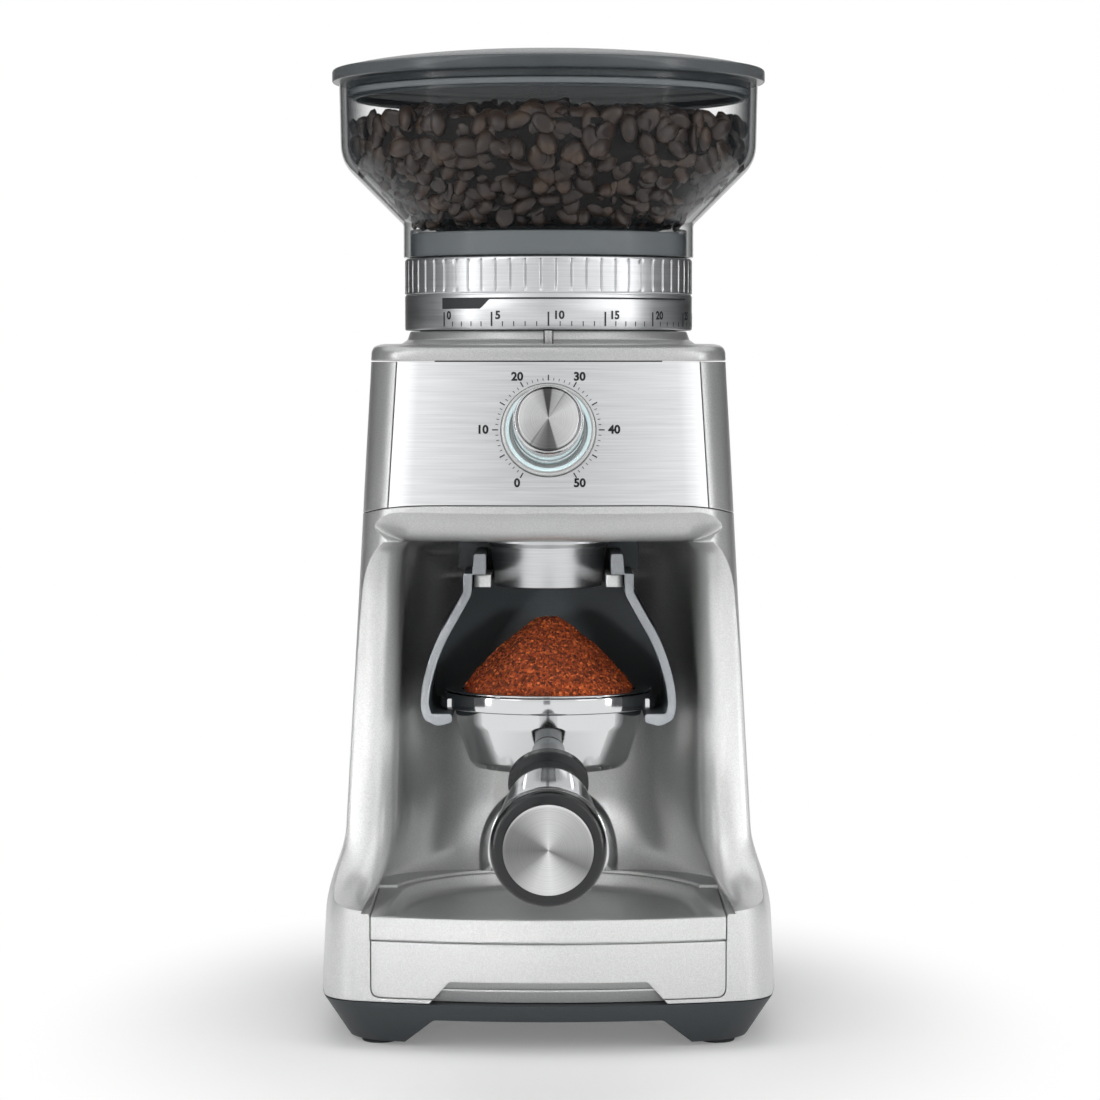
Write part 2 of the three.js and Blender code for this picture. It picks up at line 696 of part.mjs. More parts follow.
piece("index_pointer",
  box(-pointerHalf, pointerHalf, -neckFlare - 0.6, -neckRadius + 1 - gap, capHigh - 0.8, collarBottom - gap),
  blackPlastic);

function controlPanel() {
  const faces = [seamZ - 4, seamZ, headTopZ + 1];
  return alongY(panelShape(0), -120, -55, 5)
    .intersect(housingBlock(faces, panelInset))
    .subtract(housingBlock([seamZ - 5, seamZ, headTopZ + 2], panelInset + panelThick))
    .subtract(placed(disc(lightRingRadius + gap, -9, 6, 28), ontoPanel));
}
piece("control_panel", controlPanel(), brushedSteel);

// ---------- Dose dial ----------
// Everything here is turned about the dial axis and then set on the panel.
const dialGroup = new THREE.Group();
dialGroup.applyMatrix4(ontoPanel);
grinder.add(dialGroup);
const encoderHalf = 7;
const encoderBack = -10;
const encoderFront = -wall - gap;
const knobBase = knobTravel + 0.5; // the knob still clears the panel when pressed
const knobFront = knobHeight - 1.7;
const ringSeat = -panelInset - panelThick - gap + 0.3;
piece("light_ring",
  turned([
    [knobRadius + 0.9, ringSeat], [lightRingRadius, ringSeat], [lightRingRadius, 0.6],
    [lightRingRadius - 0.7, 1.2], [knobRadius + 0.9, 1.2], [knobRadius + 0.9, ringSeat]], 24),
  lampWhite, dialGroup);

const rotorRadius = 5.6;
piece("encoder_body",
  box(-encoderHalf, encoderHalf, -encoderHalf, encoderHalf, encoderBack, encoderFront)
    .subtract(disc(rotorRadius + gap, encoderBack - 1, encoderFront - 1, 14))
    .subtract(disc(shaftRadius + gap, encoderBack - 1, encoderFront + 1, 12)),
  blackPlastic, dialGroup);
piece("encoder_rotor",
  ring(shaftRadius + 0.15, rotorRadius, encoderFront - 5, encoderFront - 1.5, 12), greySteel, dialGroup);
piece("dial_shaft", disc(shaftRadius, encoderBack + knobTravel + 0.3, knobFront - 6, 12), greySteel, dialGroup);
piece("dial_knob",
  turned([
    [0, knobFront - 5.6], [shaftRadius + 0.6, knobFront - 5.6], [shaftRadius + 0.6, knobBase + 1],
    [knobRadius - 1.4, knobBase + 1], [knobRadius - 1.4, knobBase], [knobRadius, knobBase + 0.4],
    [knobRadius - 0.5, knobFront - 1], [knobRadius - 1, knobFront], [knobFaceRadius + gap, knobFront],
    [knobFaceRadius + gap, knobFront - 1], [0, knobFront - 1]], 24),
  polishedSteel, dialGroup);
piece("dial_face",
  turned([
    [0, knobFront - 1 + gap], [knobFaceRadius, knobFront - 1 + gap], [knobFaceRadius, knobFront + 0.5],
    [knobFaceRadius - 0.6, knobFront + 1.1], [0, knobFront + 1.4]], 24),
  brushedSteel, dialGroup);

const boardFront = encoderBack - gap;
piece("circuit_board", box(-40, 40, -16, 14, boardFront - 1.6, boardFront), boardGreen, dialGroup);

// ---------- Gear train: motor pinion, compound idler and output gear ----------
const pressureAngle = THREE.MathUtils.degToRad(25);
const backlash = 0.3;
// An involute gear outline with one tooth centred on the angle phase.
function gearShape(teeth, phase) {
  const pitch = (toothModule * teeth) / 2;
  const base = pitch * Math.cos(pressureAngle);
  const tip = pitch + toothModule * 0.95;
  const root = pitch - toothModule * 1.25;
  const involute = (angle) => Math.tan(angle) - angle;
  const halfAtPitch = Math.PI / (2 * teeth) - backlash / (2 * pitch);
  const halfAt = (radius) => {
    const r = Math.max(radius, base);
    return halfAtPitch + involute(pressureAngle) - involute(Math.acos(base / r));
  };
  const flank = [root, tip];
  const points = [];
  for (let i = 0; i < teeth; i++) {
    const centre = phase + (2 * Math.PI * i) / teeth;
    for (const r of flank) points.push([r, centre - halfAt(r)]);
    for (const r of flank.slice().reverse()) points.push([r, centre + halfAt(r)]);
  }
  return polygon(points.map(([r, a]) => [r * Math.cos(a), r * Math.sin(a)]));
}

function gear(teeth, phase, low, high, centre) {
  const geometry = new THREE.ExtrudeGeometry(gearShape(teeth, phase), { depth: high - low, bevelEnabled: false });
  return solidOf(geometry.translate(centre.x, centre.y, low));
}

const outputReach = (toothModule * (outputTeeth + idlerSmallTeeth)) / 2 + meshPlay;
const motorReach = (toothModule * (idlerLargeTeeth + motorPinionTeeth)) / 2 + meshPlay;
const burrAxis = new THREE.Vector2(0, 0);
const motorAxis = new THREE.Vector2(0, motorY);
// The idler sits where its two centre distances meet, to the right of the line between the axes.
const idlerAlong = (motorY ** 2 + outputReach ** 2 - motorReach ** 2) / (2 * motorY);
const idlerAxis = new THREE.Vector2(Math.sqrt(outputReach ** 2 - idlerAlong ** 2), idlerAlong);
const toIdler = idlerAxis.clone().sub(burrAxis).angle();
const toMotor = motorAxis.clone().sub(idlerAxis).angle();

const lowGear = caseFloor + casePlate + 1; // underside of the first gear pair
const highGear = lowGear + gearFace + 1.2; // underside of the second pair
const runFit = 0.1; // radial clearance of a running shaft
const bushRadius = 8;
const coverLow = caseTop + gap;
const coverHigh = coverLow + casePlate + 0.5;

// Outline of the gear case: a rounded block around the gears and a lobe around the motor axis.
function caseBlock(grow, low, high) {
  const gears = raised(roundedRect(-27 - grow, 47.5 + grow, -26 - grow, 56 + grow, 16), low, high, 2);
  return gears.add(disc(23 + grow, low, high, 14, motorAxis.x, motorAxis.y));
}
piece("gear_case",
  caseBlock(0, caseFloor, caseTop)
    .subtract(caseBlock(-casePlate, caseFloor + casePlate, caseTop + 1))
    .subtract(disc(bushRadius + gap, caseFloor - 1, caseTop, 14))
    .subtract(disc(motorShaftRadius + 2, caseFloor - 1, caseTop, 12, motorAxis.x, motorAxis.y)),
  darkPlastic);
piece("lower_bush", ring(burrShaftRadius + runFit, bushRadius, caseFloor, lowGear - 0.6, 14), copperBrown);
piece("upper_bearing", ring(burrShaftRadius + runFit, bushRadius, coverLow - 2.6, coverHigh, 14), greySteel);
piece("idler_axle",
  disc(motorShaftRadius, caseFloor + casePlate + gap, caseTop, 12, idlerAxis.x, idlerAxis.y), greySteel);
piece("idler_gear",
  gear(idlerLargeTeeth, toMotor, lowGear, lowGear + gearFace, idlerAxis)
    .add(gear(idlerSmallTeeth, toIdler + Math.PI + Math.PI / idlerSmallTeeth,
      lowGear + 1, highGear + gearFace, idlerAxis))
    .subtract(disc(motorShaftRadius + runFit, lowGear - 1, caseTop, 12, idlerAxis.x, idlerAxis.y)),
  nylonWhite);
piece("motor_pinion",
  gear(motorPinionTeeth, toMotor + Math.PI + Math.PI / motorPinionTeeth,
    lowGear, lowGear + gearFace, motorAxis)
    .subtract(disc(motorShaftRadius + 0.05, lowGear - 1, caseTop, 12, motorAxis.x, motorAxis.y)),
  copperBrown);
piece("output_gear",
  gear(outputTeeth, toIdler, highGear, highGear + gearFace, burrAxis)
    .subtract(disc(burrShaftRadius + 0.05, lowGear, caseTop, 14)),
  nylonWhite);

const motorTop = caseFloor - gap;
const shaftLow = motorTop - 20;
piece("motor_can",
  turned([
    [0, motorTop - motorLength], [motorRadius - 10, motorTop - motorLength],
    [motorRadius - 8, motorTop - motorLength + 4], [motorRadius, motorTop - motorLength + 5],
    [motorRadius, motorTop - 2], [motorRadius - 2, motorTop],
    [motorShaftRadius + 0.3, motorTop], [motorShaftRadius + 0.3, shaftLow - 1], [0, shaftLow - 1]],
    16, motorAxis.x, motorAxis.y),
  greySteel);
piece("motor_shaft",
  disc(motorShaftRadius, shaftLow, lowGear + gearFace + 0.8, 12, motorAxis.x, motorAxis.y), greySteel);

// ---------- Burr set ----------
const portHalf = 12; // half width of the port that grounds leave through
const impellerLow = coverHigh + 0.8;
const impellerHigh = coneBurrBottom - gap;
const portTop = impellerHigh + 6.15;
const chamberOuter = chamberInner + chamberWall;
const neckStart = caseTop + 24.8; // where the chamber widens to its neck
const neckInner = threadRadius - chamberWall;
function burrChamber() {
  const rise = threadRadius - chamberOuter;
  const body = turned([
    [bushRadius + gap, coverLow - 3], [bushRadius + 3, coverLow - 3], [bushRadius + 3, coverLow + 1],
    [chamberOuter, coverLow + 1], [chamberOuter, neckStart], [threadRadius, neckStart + rise],
    [threadRadius, chamberNeckTop], [neckInner, chamberNeckTop], [neckInner, neckStart + rise + 1],
    [chamberInner, neckStart + 1], [chamberInner, coverHigh], [bushRadius + gap, coverHigh],
    [bushRadius + gap, coverLow - 3]], 20);
  return body
    .add(caseBlock(0, coverLow, coverHigh).subtract(disc(chamberOuter - 1, coverLow - 1, coverHigh + 1, 20)))
    .subtract(box(-portHalf, portHalf, -chamberOuter - 2, -chamberInner + 5, coverHigh + 0.6, portTop));
}
piece("burr_chamber", burrChamber(), darkPlastic);

// A star outline: tooth tips at one radius and roots at another, turned by an angle.
function starPoints(teeth, tip, root, turn) {
  const points = [];
  for (let i = 0; i < teeth; i++) {
    const angle = turn + (2 * Math.PI * i) / teeth;
    const step = (2 * Math.PI) / teeth;
    points.push([tip * Math.cos(angle), tip * Math.sin(angle)]);
    points.push([root * Math.cos(angle + step * 0.75), root * Math.sin(angle + step * 0.75)]);
  }
  return points;
}
const coneTeeth = 12;
const coneDepth = 2.2;
function coneBurr() {
  const steps = 4;
  const sections = Array.from({ length: steps + 1 }, (_, i) => {
    const share = i / steps;
    const radius = mix(coneBurrRadius, coneBurrTopRadius, share ** 0.85);
    return {
      z: coneBurrBottom + coneBurrHeight * share,
      points: starPoints(coneTeeth, radius, radius - mix(0.5, coneDepth, share), share * 0.9),
    };
  });
  return lofted(sections)
    .subtract(disc(burrShaftRadius + 0.05, coneBurrBottom - 1, coneBurrBottom + coneBurrHeight + 1, 14));
}
piece("cone_burr", coneBurr(), polishedSteel);
const ringTeeth = 16;
function ringBurr() {
  const top = ringBurrBottom + ringBurrHeight;
  const level = (z, tip, turn) => ({ z, points: starPoints(ringTeeth, tip, tip + 1.3, turn) });
  const bore = lofted([
    level(ringBurrBottom - 0.5, coneBurrRadius + 0.9, 0), level(ringBurrBottom + 5, coneBurrRadius - 0.9, -0.1),
    level(top + 0.5, coneBurrRadius + 2.6, -0.4)]);
  return disc(ringBurrRadius, ringBurrBottom, top, 20).subtract(bore);
}
piece("ring_burr", ringBurr(), polishedSteel);
piece("burr_shaft", disc(burrShaftRadius, lowGear - 0.8, coneBurrBottom + coneBurrHeight + 5.5, 14), greySteel);
const nutLow = coneBurrBottom + coneBurrHeight + gap;
piece("burr_nut",
  disc(6.4, nutLow, nutLow + 4, 6).subtract(disc(burrShaftRadius + 0.05, nutLow - 1, nutLow + 6, 14)), greySteel);
function impeller() {
  const hub = disc(coneBurrRadius, impellerLow, impellerHigh, 14);
  const paddles = Array.from({ length: 4 }, (_, i) => {
    const turn = new THREE.Matrix4().makeRotationZ((Math.PI * i) / 2);
    return placed(box(-1.5, 1.5, 4, chamberInner - 1.4, impellerLow, impellerHigh), turn);
  });
  return joined(hub, ...paddles).subtract(disc(burrShaftRadius + 0.05, impellerLow - 1, impellerHigh + 1, 14));
}
piece("impeller", impeller(), blackPlastic);

const carrierOuter = neckInner - 0.7;
const carrierTop = chamberNeckTop + gap + 1.7;
const sleeveOuter = chamberInner - 0.4;
const sleeveInner = ringBurrRadius + gap;
const slopePlay = 2.4; // lift of the carrier's slope over the chamber's, so that it turns freely
const ringBurrTop = ringBurrBottom + ringBurrHeight;
function burrCarrier() {
  const web = ringBurrTop + gap;
  const flare = carrierOuter - sleeveOuter;
  return turned([
    [throatRadius, web], [sleeveInner, web], [sleeveInner, ringBurrBottom + 0.8],
    [sleeveOuter, ringBurrBottom + 0.8], [sleeveOuter, neckStart + slopePlay],
    [carrierOuter, neckStart + slopePlay + flare],
    [carrierOuter, chamberNeckTop + gap], [threadRadius, chamberNeckTop + gap], [threadRadius, carrierTop],
    [carrierOuter - chamberWall, carrierTop], [carrierOuter - chamberWall, web + 7],
    [throatRadius + 2, web + 2.6], [throatRadius + 2, throatBottom - 3.6], [throatRadius, throatBottom - 3.6],
    [throatRadius, web]], 20);
}
piece("burr_carrier", burrCarrier(), darkPlastic);
// The wire bail that lifts the upper burr, folded down round the throat.
function carrierHandle() {
  const low = throatBottom - 5.6;
  const wire = 2.4;
  const inner = throatRadius + 3.4;
  const ears = box(-carrierOuter + chamberWall + gap, carrierOuter - chamberWall - gap, -1.4, 1.4, low, low + wire);
  const loop = ring(inner, inner + wire, low, low + wire, 20);
  return loop.subtract(box(-60, 60, 0.4, 60, low - 1, low + 4))
    .add(ears.subtract(disc(inner, low - 1, low + 4, 20)));
}
piece("carrier_handle", carrierHandle(), greySteel);

function adjustingRing() {
  return turned([
    [threadRadius + gap, capLow + 1], [ringOuter, capLow + 1], [ringOuter, collarTop + gap],
    [hopperNeckRadius - hopperWall - 0.4, collarTop + gap], [hopperNeckRadius - hopperWall - 0.4, towerTop],
    [ringOuter + 0.4, towerTop], [ringOuter + 0.4, collarTop + 3], [threadRadius + gap, carrierTop + 0.4],
    [threadRadius + gap, capLow + 1]], 24);
}
piece("adjusting_ring", adjustingRing(), nylonWhite);

// ---------- Grind collar ----------
function grindCollar() {
  const inner = ringOuter + gap;
  const body = disc(collarRadius, collarBottom, collarTop, fluteCount)
    .subtract(disc(inner, collarBottom - 1, collarTop + 1, 28));
  // Each flute is a V as wide and deep as the constants say, drawn a little past the surface.
  const flutes = Array.from({ length: fluteCount }, (_, i) => {
    const turn = new THREE.Matrix4().makeRotationZ((2 * Math.PI * (i + 0.5)) / fluteCount);
    const section = polygon([
      [collarRadius - fluteDepth, 0], [collarRadius + fluteDepth, -fluteWidth],
      [collarRadius + fluteDepth, fluteWidth]]);
    return placed(raised(section, collarBand, collarTop - 1), turn);
  });
  return body.subtract(joined(...flutes));
}
piece("grind_collar", grindCollar(), brushedSteel);

// ---------- Bean hopper, lid and beans ----------
const hopperFoot = collarTop + gap;
const hopperRimRadius = hopperBowlRadius + 0.3;
const bendRadius = 6;
// The hopper's wall from the shoulder up, moved in by an inset.
function hopperSide(inset) {
  const slope = new THREE.Vector2(hopperBowlRadius - hopperNeckRadius, hopperBend - 3.5 - hopperShoulder);
  const onCone = (share) => [
    hopperNeckRadius + slope.x * share - inset, hopperShoulder + slope.y * share + inset * 0.5];
  return [
    onCone(0), onCone(0.8), [hopperBowlRadius - 1.9 - inset, hopperBend - bendRadius + 1 + inset * 0.3],
    [hopperBowlRadius - 0.3 - inset, hopperBend + 0.6], [hopperRimRadius - inset, hopperTop]];
}
const funnelRise = 9; // how much the hopper floor drops towards the throat
function hopper() {
  const outside = [[hopperNeckRadius - hopperWall, hopperFoot], [hopperNeckRadius, hopperFoot], ...hopperSide(0)];
  const inside = hopperSide(hopperWall).reverse();
  const floor = [
    [throatRadius - 1, hopperShoulder - funnelRise + 3], [throatRadius - hopperWall, hopperShoulder - funnelRise + 1],
    [throatRadius - hopperWall, throatBottom], [throatRadius, throatBottom],
    [throatRadius, hopperShoulder - funnelRise - 1.4], [hopperNeckRadius - hopperWall, hopperShoulder - 1.6],
    [hopperNeckRadius - hopperWall, hopperFoot]];
  return turned([...outside, ...inside, ...floor], 24);
}
piece("hopper", hopper(), smokedPlastic);

const beanPlay = 0.9; // the plain solid of the beans stays this far inside the walls
function coffeeBeans() {
  const side = hopperSide(hopperWall + beanPlay);
  const kept = side.slice(0, -1);
  const throat = throatRadius - hopperWall - beanPlay;
  return turned([
    [0, throatBottom], [throat, throatBottom], [throat, hopperShoulder - funnelRise + 1.6],
    [throatRadius, hopperShoulder - funnelRise + 4], ...kept, [hopperBowlRadius - hopperWall - beanPlay, beanLevel - 1],
    [38, beanLevel + beanHeap * 0.7], [0, beanLevel + beanHeap]], 16);
}
piece("coffee_beans", coffeeBeans(), beanBrown);

const plugRadius = hopperRimRadius - hopperWall - 1.6;
const rimLow = hopperTop + gap;
function hopperLid() {
  const skirtLow = hopperTop - lidSkirt;
  const top = rimLow + lidRim;
  const domeAt = (share) => [(lidRadius - 3) * share, top + lidDome * (1 - share ** 2) ** 0.75];
  return turned([
    [plugRadius - 2, skirtLow], [plugRadius - 0.9, skirtLow],
    [plugRadius - 0.9, skirtLow + 3.6], [plugRadius, skirtLow + 3.6], [plugRadius, rimLow],
    [lidRadius, rimLow], [lidRadius, top - 1.2], [lidRadius - 1.4, top],
    domeAt(1), domeAt(0.88), domeAt(0.6), [0, top + lidDome],
    [0, top + lidDome - 2.2], [(lidRadius - 3) * 0.5, top + lidDome * 0.78 - 2.2],
    [plugRadius - 2, rimLow + 1.4], [plugRadius - 2, skirtLow]], 24);
}
piece("hopper_lid", hopperLid(), lidPlastic);
piece("lid_seal",
  turned([
    [plugRadius - 0.55, hopperTop - lidSkirt + 1.2], [plugRadius + 0.6, hopperTop - lidSkirt + 1.2],
    [plugRadius + 1.1, hopperTop - lidSkirt + 3.2], [plugRadius - 0.55, hopperTop - lidSkirt + 3.2],
    [plugRadius - 0.55, hopperTop - lidSkirt + 1.2]], 24),
  softSeal);

// ---------- Outlet, chute and cradle rail ----------
const ceilingTop = alcoveTop + wall;
const outletTop = ceilingTop + 5.6;
const outletInner = outletRadius - outletWall;
// The flange that carries it runs round the rear half, where the ceiling is flat.
function outletSpout() {
  const flange = ring(outletRadius - 1, outletRadius + 3, ceilingTop + gap, ceilingTop + 2.4, 24, 0, outletY)
    .subtract(box(-60, 60, -beyond, outletY, ceilingTop, outletTop));
  const body = turned([
    [outletTip - outletWall, outletBottom], [outletTip, outletBottom], [outletTip + 1.7, alcoveTop - 2.6],
    [outletRadius, alcoveTop - 1.2], [outletRadius, outletTop], [outletInner, outletTop],
    [outletInner, alcoveTop - 1], [outletTip - outletWall, outletBottom]], 24, 0, outletY);
  return body.add(flange);
}
piece("outlet_spout", outletSpout(), brushedSteel);
const chuteSkin = 2;
const chuteTop = portTop + chuteSkin + 1;
function chuteBlock(inset, low, high) {
  const back = -chamberOuter - 0.4;
  const section = (z, half, front) => ({
    z, points: roundedPoints(-half + inset, half - inset, front + inset, back - inset, 7 - inset),
  });
  return lofted([
    section(low, outletRadius, outletY - outletRadius), section(outletTop + 9, outletRadius - 2, outletY - 12),
    section(high, portHalf + 2.4, -chamberOuter - 17)]);
}
piece("grind_chute",
  chuteBlock(0, outletTop + gap, chuteTop)
    .subtract(chuteBlock(chuteSkin, outletTop - 1, chuteTop - chuteSkin))
    .subtract(box(-portHalf, portHalf, -chamberOuter - 4, -chamberOuter + 2, coverHigh + 0.6, portTop)),
  blackPlastic);

const railFront = outletY - railLength / 2;
const railBack = outletY + railLength / 2;
const railTop = outletBottom + 0.8 + railThick;
const bossFront = railBack - 6;
function cradleRail() {
  const flange = raised(roundedRect(-railHalf, railHalf, railFront, railBack, 3), railTop - railThick, railTop, 3);
  const boss = disc(railHalf + 6, railTop - 1.5, alcoveTop - gap, 24, 0, bossFront)
    .subtract(box(-60, 60, -beyond, bossFront, railTop - 4, alcoveTop));
  const bore = outletTip + 1 + gap;
  return flange.subtract(box(-bore, bore, railFront - 1, outletY, outletBottom - 8, railTop + 1))
    .add(boss).subtract(disc(bore, outletBottom - 8, railTop + 1, 24, 0, outletY))
    .subtract(disc(outletRadius + gap, railTop - 0.5, alcoveTop + 2, 24, 0, outletY));
}
piece("cradle_rail", cradleRail(), silverPaint);

// ---------- Portafilter cradle ----------
const hookTop = earBottom - gap;
const tabTop = alcoveTop - 4; // upper end of the tabs that hang on the rail
const elbowZ = mix(hookTop, outletBottom, 0.475); // where the sides turn outwards
// Half of the cradle's front outline, from the rail tab down to the hook end.
const cradleOuter = [
  [railHalf - 0.2, tabTop], [railHalf + 0.35, tabTop - 6.5], [railHalf + 3.4, tabTop - 6.5],
  [railHalf + 3.4, tabTop - 11.2], [38.5, elbowZ], [42.4, hookTop + 3.45], [41.2, hookTop - 1.95],
  [36.3, hookTop - 4.35], [bowlRadius + 0.4, hookTop - 2.75],
];
const cradleInner = [
  [bowlRadius + 0.4, hookTop - 0.9], [bowlRadius + 1, hookTop], [38.9, hookTop], [39.7, hookTop + 3.45],
  [36, elbowZ - 0.5], [railHalf + 0.6, outletBottom - 0.4], [railHalf + 0.35, railTop + gap], [outletRadius + 0.3, railTop + gap],
  [outletRadius + 0.3, tabTop],
];
function cradle() {
  const side = (sign) =>
    alongY(polygon([...cradleOuter, ...cradleInner].map(([x, z]) => [x * sign, z])), cradleFront, cradleBack);
  const backOutline = [
    [railHalf + 0.6, outletBottom - 0.6], [38.5, elbowZ], [42.2, hookTop + 3.45], [41, hookTop - 1.95],
    [36.3, hookTop - 4.15]];
  const back = alongY(
    polygon([...backOutline, ...backOutline.slice().reverse().map(([x, z]) => [-x, z])]),
    cradleBack - cradleSkin, cradleBack);
  const upperCut = box(-60, 60, bossFront - 0.7, 10, outletBottom - 0.5, alcoveTop + 6);
  return joined(side(1), side(-1), back).subtract(upperCut)
    .subtract(triggerBore(triggerRadius + 0.6, cradleBack - 8, cradleBack + 2));
}
piece("cradle", cradle(), darkPlastic);

// ---------- Dose trigger and its switch ----------
const triggerTip = outletY + rimRadius + gap;
const triggerFlange = alcoveBack + wall + gap;
function doseTrigger() {
  const profile = [
    [0, triggerTip], [triggerRadius - 1, triggerTip], [triggerRadius, triggerTip + 1],
    [triggerRadius, triggerFlange], [triggerRadius + 2, triggerFlange], [triggerRadius + 2, triggerFlange + 2],
    [triggerRadius - 2, triggerFlange + 2], [triggerRadius - 2, triggerFlange + 8], [0, triggerFlange + 8]];
  const backwards = new THREE.Matrix4().makeRotationX(-Math.PI / 2).setPosition(0, 0, triggerZ);
  return placed(turned(profile, 14), backwards);
}
piece("dose_trigger", doseTrigger(), blackPlastic);
const switchTop = triggerZ - triggerRadius - 2.4;
piece("microswitch", box(-10, 10, triggerFlange, triggerFlange + 7, switchTop - 11, switchTop), blackPlastic);

// ---------- Grinds tray ----------
function grindsTray() {
  const cutTo = (inset) => housingBlock([30, deckZ + 2], inset);
  const block = raised(trayShape(0), trayBottom, trayTop, 9).intersect(cutTo(0));
  const pocket = raised(trayShape(-3.2), trayBottom + 1.6, trayTop + 1, 9).intersect(cutTo(3.6));
  return block.subtract(pocket);
}
piece("grinds_tray", grindsTray(), silverPaint);

// ---------- Portafilter ----------
const rimLowZ = earBottom;
const bowlRim = rimTop - 1;
function portafilterBowl() {
  const basketHole = basketRadius + 0.8 + gap;
  const body = turned([
    [5, bowlBottom], [25, bowlBottom], [26.6, bowlBottom + 1.6], [bowlRadius - 0.6, bowlBottom + 14],
    [bowlRadius, rimLowZ - 0.4], [rimRadius, rimLowZ], [rimRadius, bowlRim], [basketHole, bowlRim],
    [basketHole, bowlBottom + 14], [basketHole - 3.6, bowlBottom + 3.2], [5, bowlBottom + 2.4],
    [5, bowlBottom]], 24, 0, outletY);
  const ears = ring(rimRadius - 1, earRadius, earBottom, earBottom + earThick, 24, 0, outletY)
    .subtract(box(-60, 60, outletY - 60, outletY - 14, bowlBottom, rimTop + 10))
    .subtract(box(-60, 60, outletY + 14, outletY + 60, bowlBottom, rimTop + 10));
  return body.add(ears);
}
piece("portafilter_bowl", portafilterBowl(), polishedSteel);
piece("filter_basket",
  turned([
    [0, bowlBottom + 4], [basketRadius - 2.6, bowlBottom + 4], [basketRadius + 0.8, bowlBottom + 15],
    [basketRadius + 0.8, bowlRim + gap], [rimRadius - 0.6, bowlRim + gap], [rimRadius - 0.4, rimTop],
    [basketRadius, rimTop], [basketRadius, bowlBottom + 15], [basketRadius - 3.2, bowlBottom + 4.8],
    [0, bowlBottom + 4.8]], 20, 0, outletY),
  polishedSteel);
piece("ground_coffee",
  turned([
    [0, bowlBottom + 5.4], [basketRadius - 4, bowlBottom + 5.4], [basketRadius - 0.5, bowlBottom + 15],
    [basketRadius - 0.4, rimTop], [basketRadius - 2.4, rimTop + 4], [17.5, rimTop + heapHeight * 0.52],
    [6.5, rimTop + heapHeight * 0.88], [0, rimTop + heapHeight]], 16, 0, outletY),
  groundsBrown);

const spoutReach = 17.4;
const spoutTube = 6.2;
const spoutEnd = bowlBottom - 35;
function doubleSpout() {
  const branch = (sign, radius, extra) => {
    const curve = new THREE.CatmullRomCurve3([
      new THREE.Vector3(0, outletY, bowlBottom - 11 + extra), new THREE.Vector3(sign * 9, outletY, bowlBottom - 17),
      new THREE.Vector3(sign * 15.4, outletY, bowlBottom - 26), new THREE.Vector3(sign * spoutReach, outletY, spoutEnd - extra)]);
    return spindle(curve, [0, 0.35, 0.65, 1].map((t) => [t, radius]), 8);
  };
  const stem = disc(8.6, bowlBottom - 18, bowlBottom - gap, 14, 0, outletY);
  return joined(stem, branch(1, spoutTube, 0), branch(-1, spoutTube, 0))
    .subtract(branch(1, spoutTube - 1.4, 0.6)).subtract(branch(-1, spoutTube - 1.4, 0.6))
    .subtract(disc(5, bowlBottom - 17, bowlBottom + 1, 10, 0, outletY));
}
piece("double_spout", doubleSpout(), polishedSteel);

// The handle drops away from the bowl and levels out towards its end.
const handleRoot = new THREE.Vector3(0, outletY - bowlRadius + 7, bowlBottom + 9.6);
const handleEnd = new THREE.Vector3(0, outletY - handleReach, handleEndZ);
const handleLine = new THREE.QuadraticBezierCurve3(handleRoot, new THREE.Vector3(0, outletY - handleReach * 0.36, bowlBottom - 9.5), handleEnd);
const handleLength = handleLine.getLength();
const seam = gap / handleLength;
const handleJoints = { neck: 0.18, ring: 0.22, ferrule: 0.37, grip: 0.985 };
function handleNeck() {
  const clear = turned([
    [0, bowlBottom - 6], [25 + gap, bowlBottom - 6], [25 + gap, bowlBottom], [26.6 + gap, bowlBottom + 1.6],
    [bowlRadius - 0.6 + gap, bowlBottom + 14], [bowlRadius + gap, rimLowZ], [0, rimLowZ]], 24, 0, outletY);
  const stations = [[0, 5.6, 6.2], [0.07, 6.2, 6.8], [0.13, 9], [handleJoints.neck, 12]];
  return spindle(handleLine, stations).subtract(clear);
}
piece("handle_neck", handleNeck(), polishedSteel);
piece("handle_ring",
  spindle(handleLine, [[handleJoints.neck + seam, 12.6], [handleJoints.neck + 0.01, 13.1],
    [handleJoints.ring - 0.01, 13.1], [handleJoints.ring, 12.6]]), blackPlastic);
piece("handle_ferrule",
  spindle(handleLine, [[handleJoints.ring + seam, 11.8], [0.27, 12.3, 12], [0.32, 13, 11.6], [handleJoints.ferrule, 13.8, 11.2]]),
  polishedSteel);
piece("handle_grip",
  spindle(handleLine, [[handleJoints.ferrule + seam, 14, 11], [0.46, 15, 10.8], [0.62, 15.8, 11.4], [0.78, 16.6, 13.4],
    [0.9, gripRadius - 0.6, 16.4], [0.955, gripRadius], [handleJoints.grip, gripRadius - 1.5]]), blackPlastic);
piece("handle_end_disc",
  spindle(handleLine, [[handleJoints.grip + seam, 13.6], [0.997, 13.6], [1, 12.6]]), brushedSteel);

// ---------- Centre the whole grinder on its footprint ----------
const whole = new THREE.Box3().setFromObject(grinder);
const middle = whole.getCenter(new THREE.Vector3());
grinder.position.set(-middle.x, -middle.y, -whole.min.z);
grinder.updateMatrixWorld(true);

export default grinder;
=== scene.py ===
# Burr coffee grinder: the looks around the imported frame. Sizes in dictionaries are millimetres,
# given from the burr axis, with the front towards -Y.
import json
import math
import random

import bpy
from mathutils import Matrix, Vector, noise


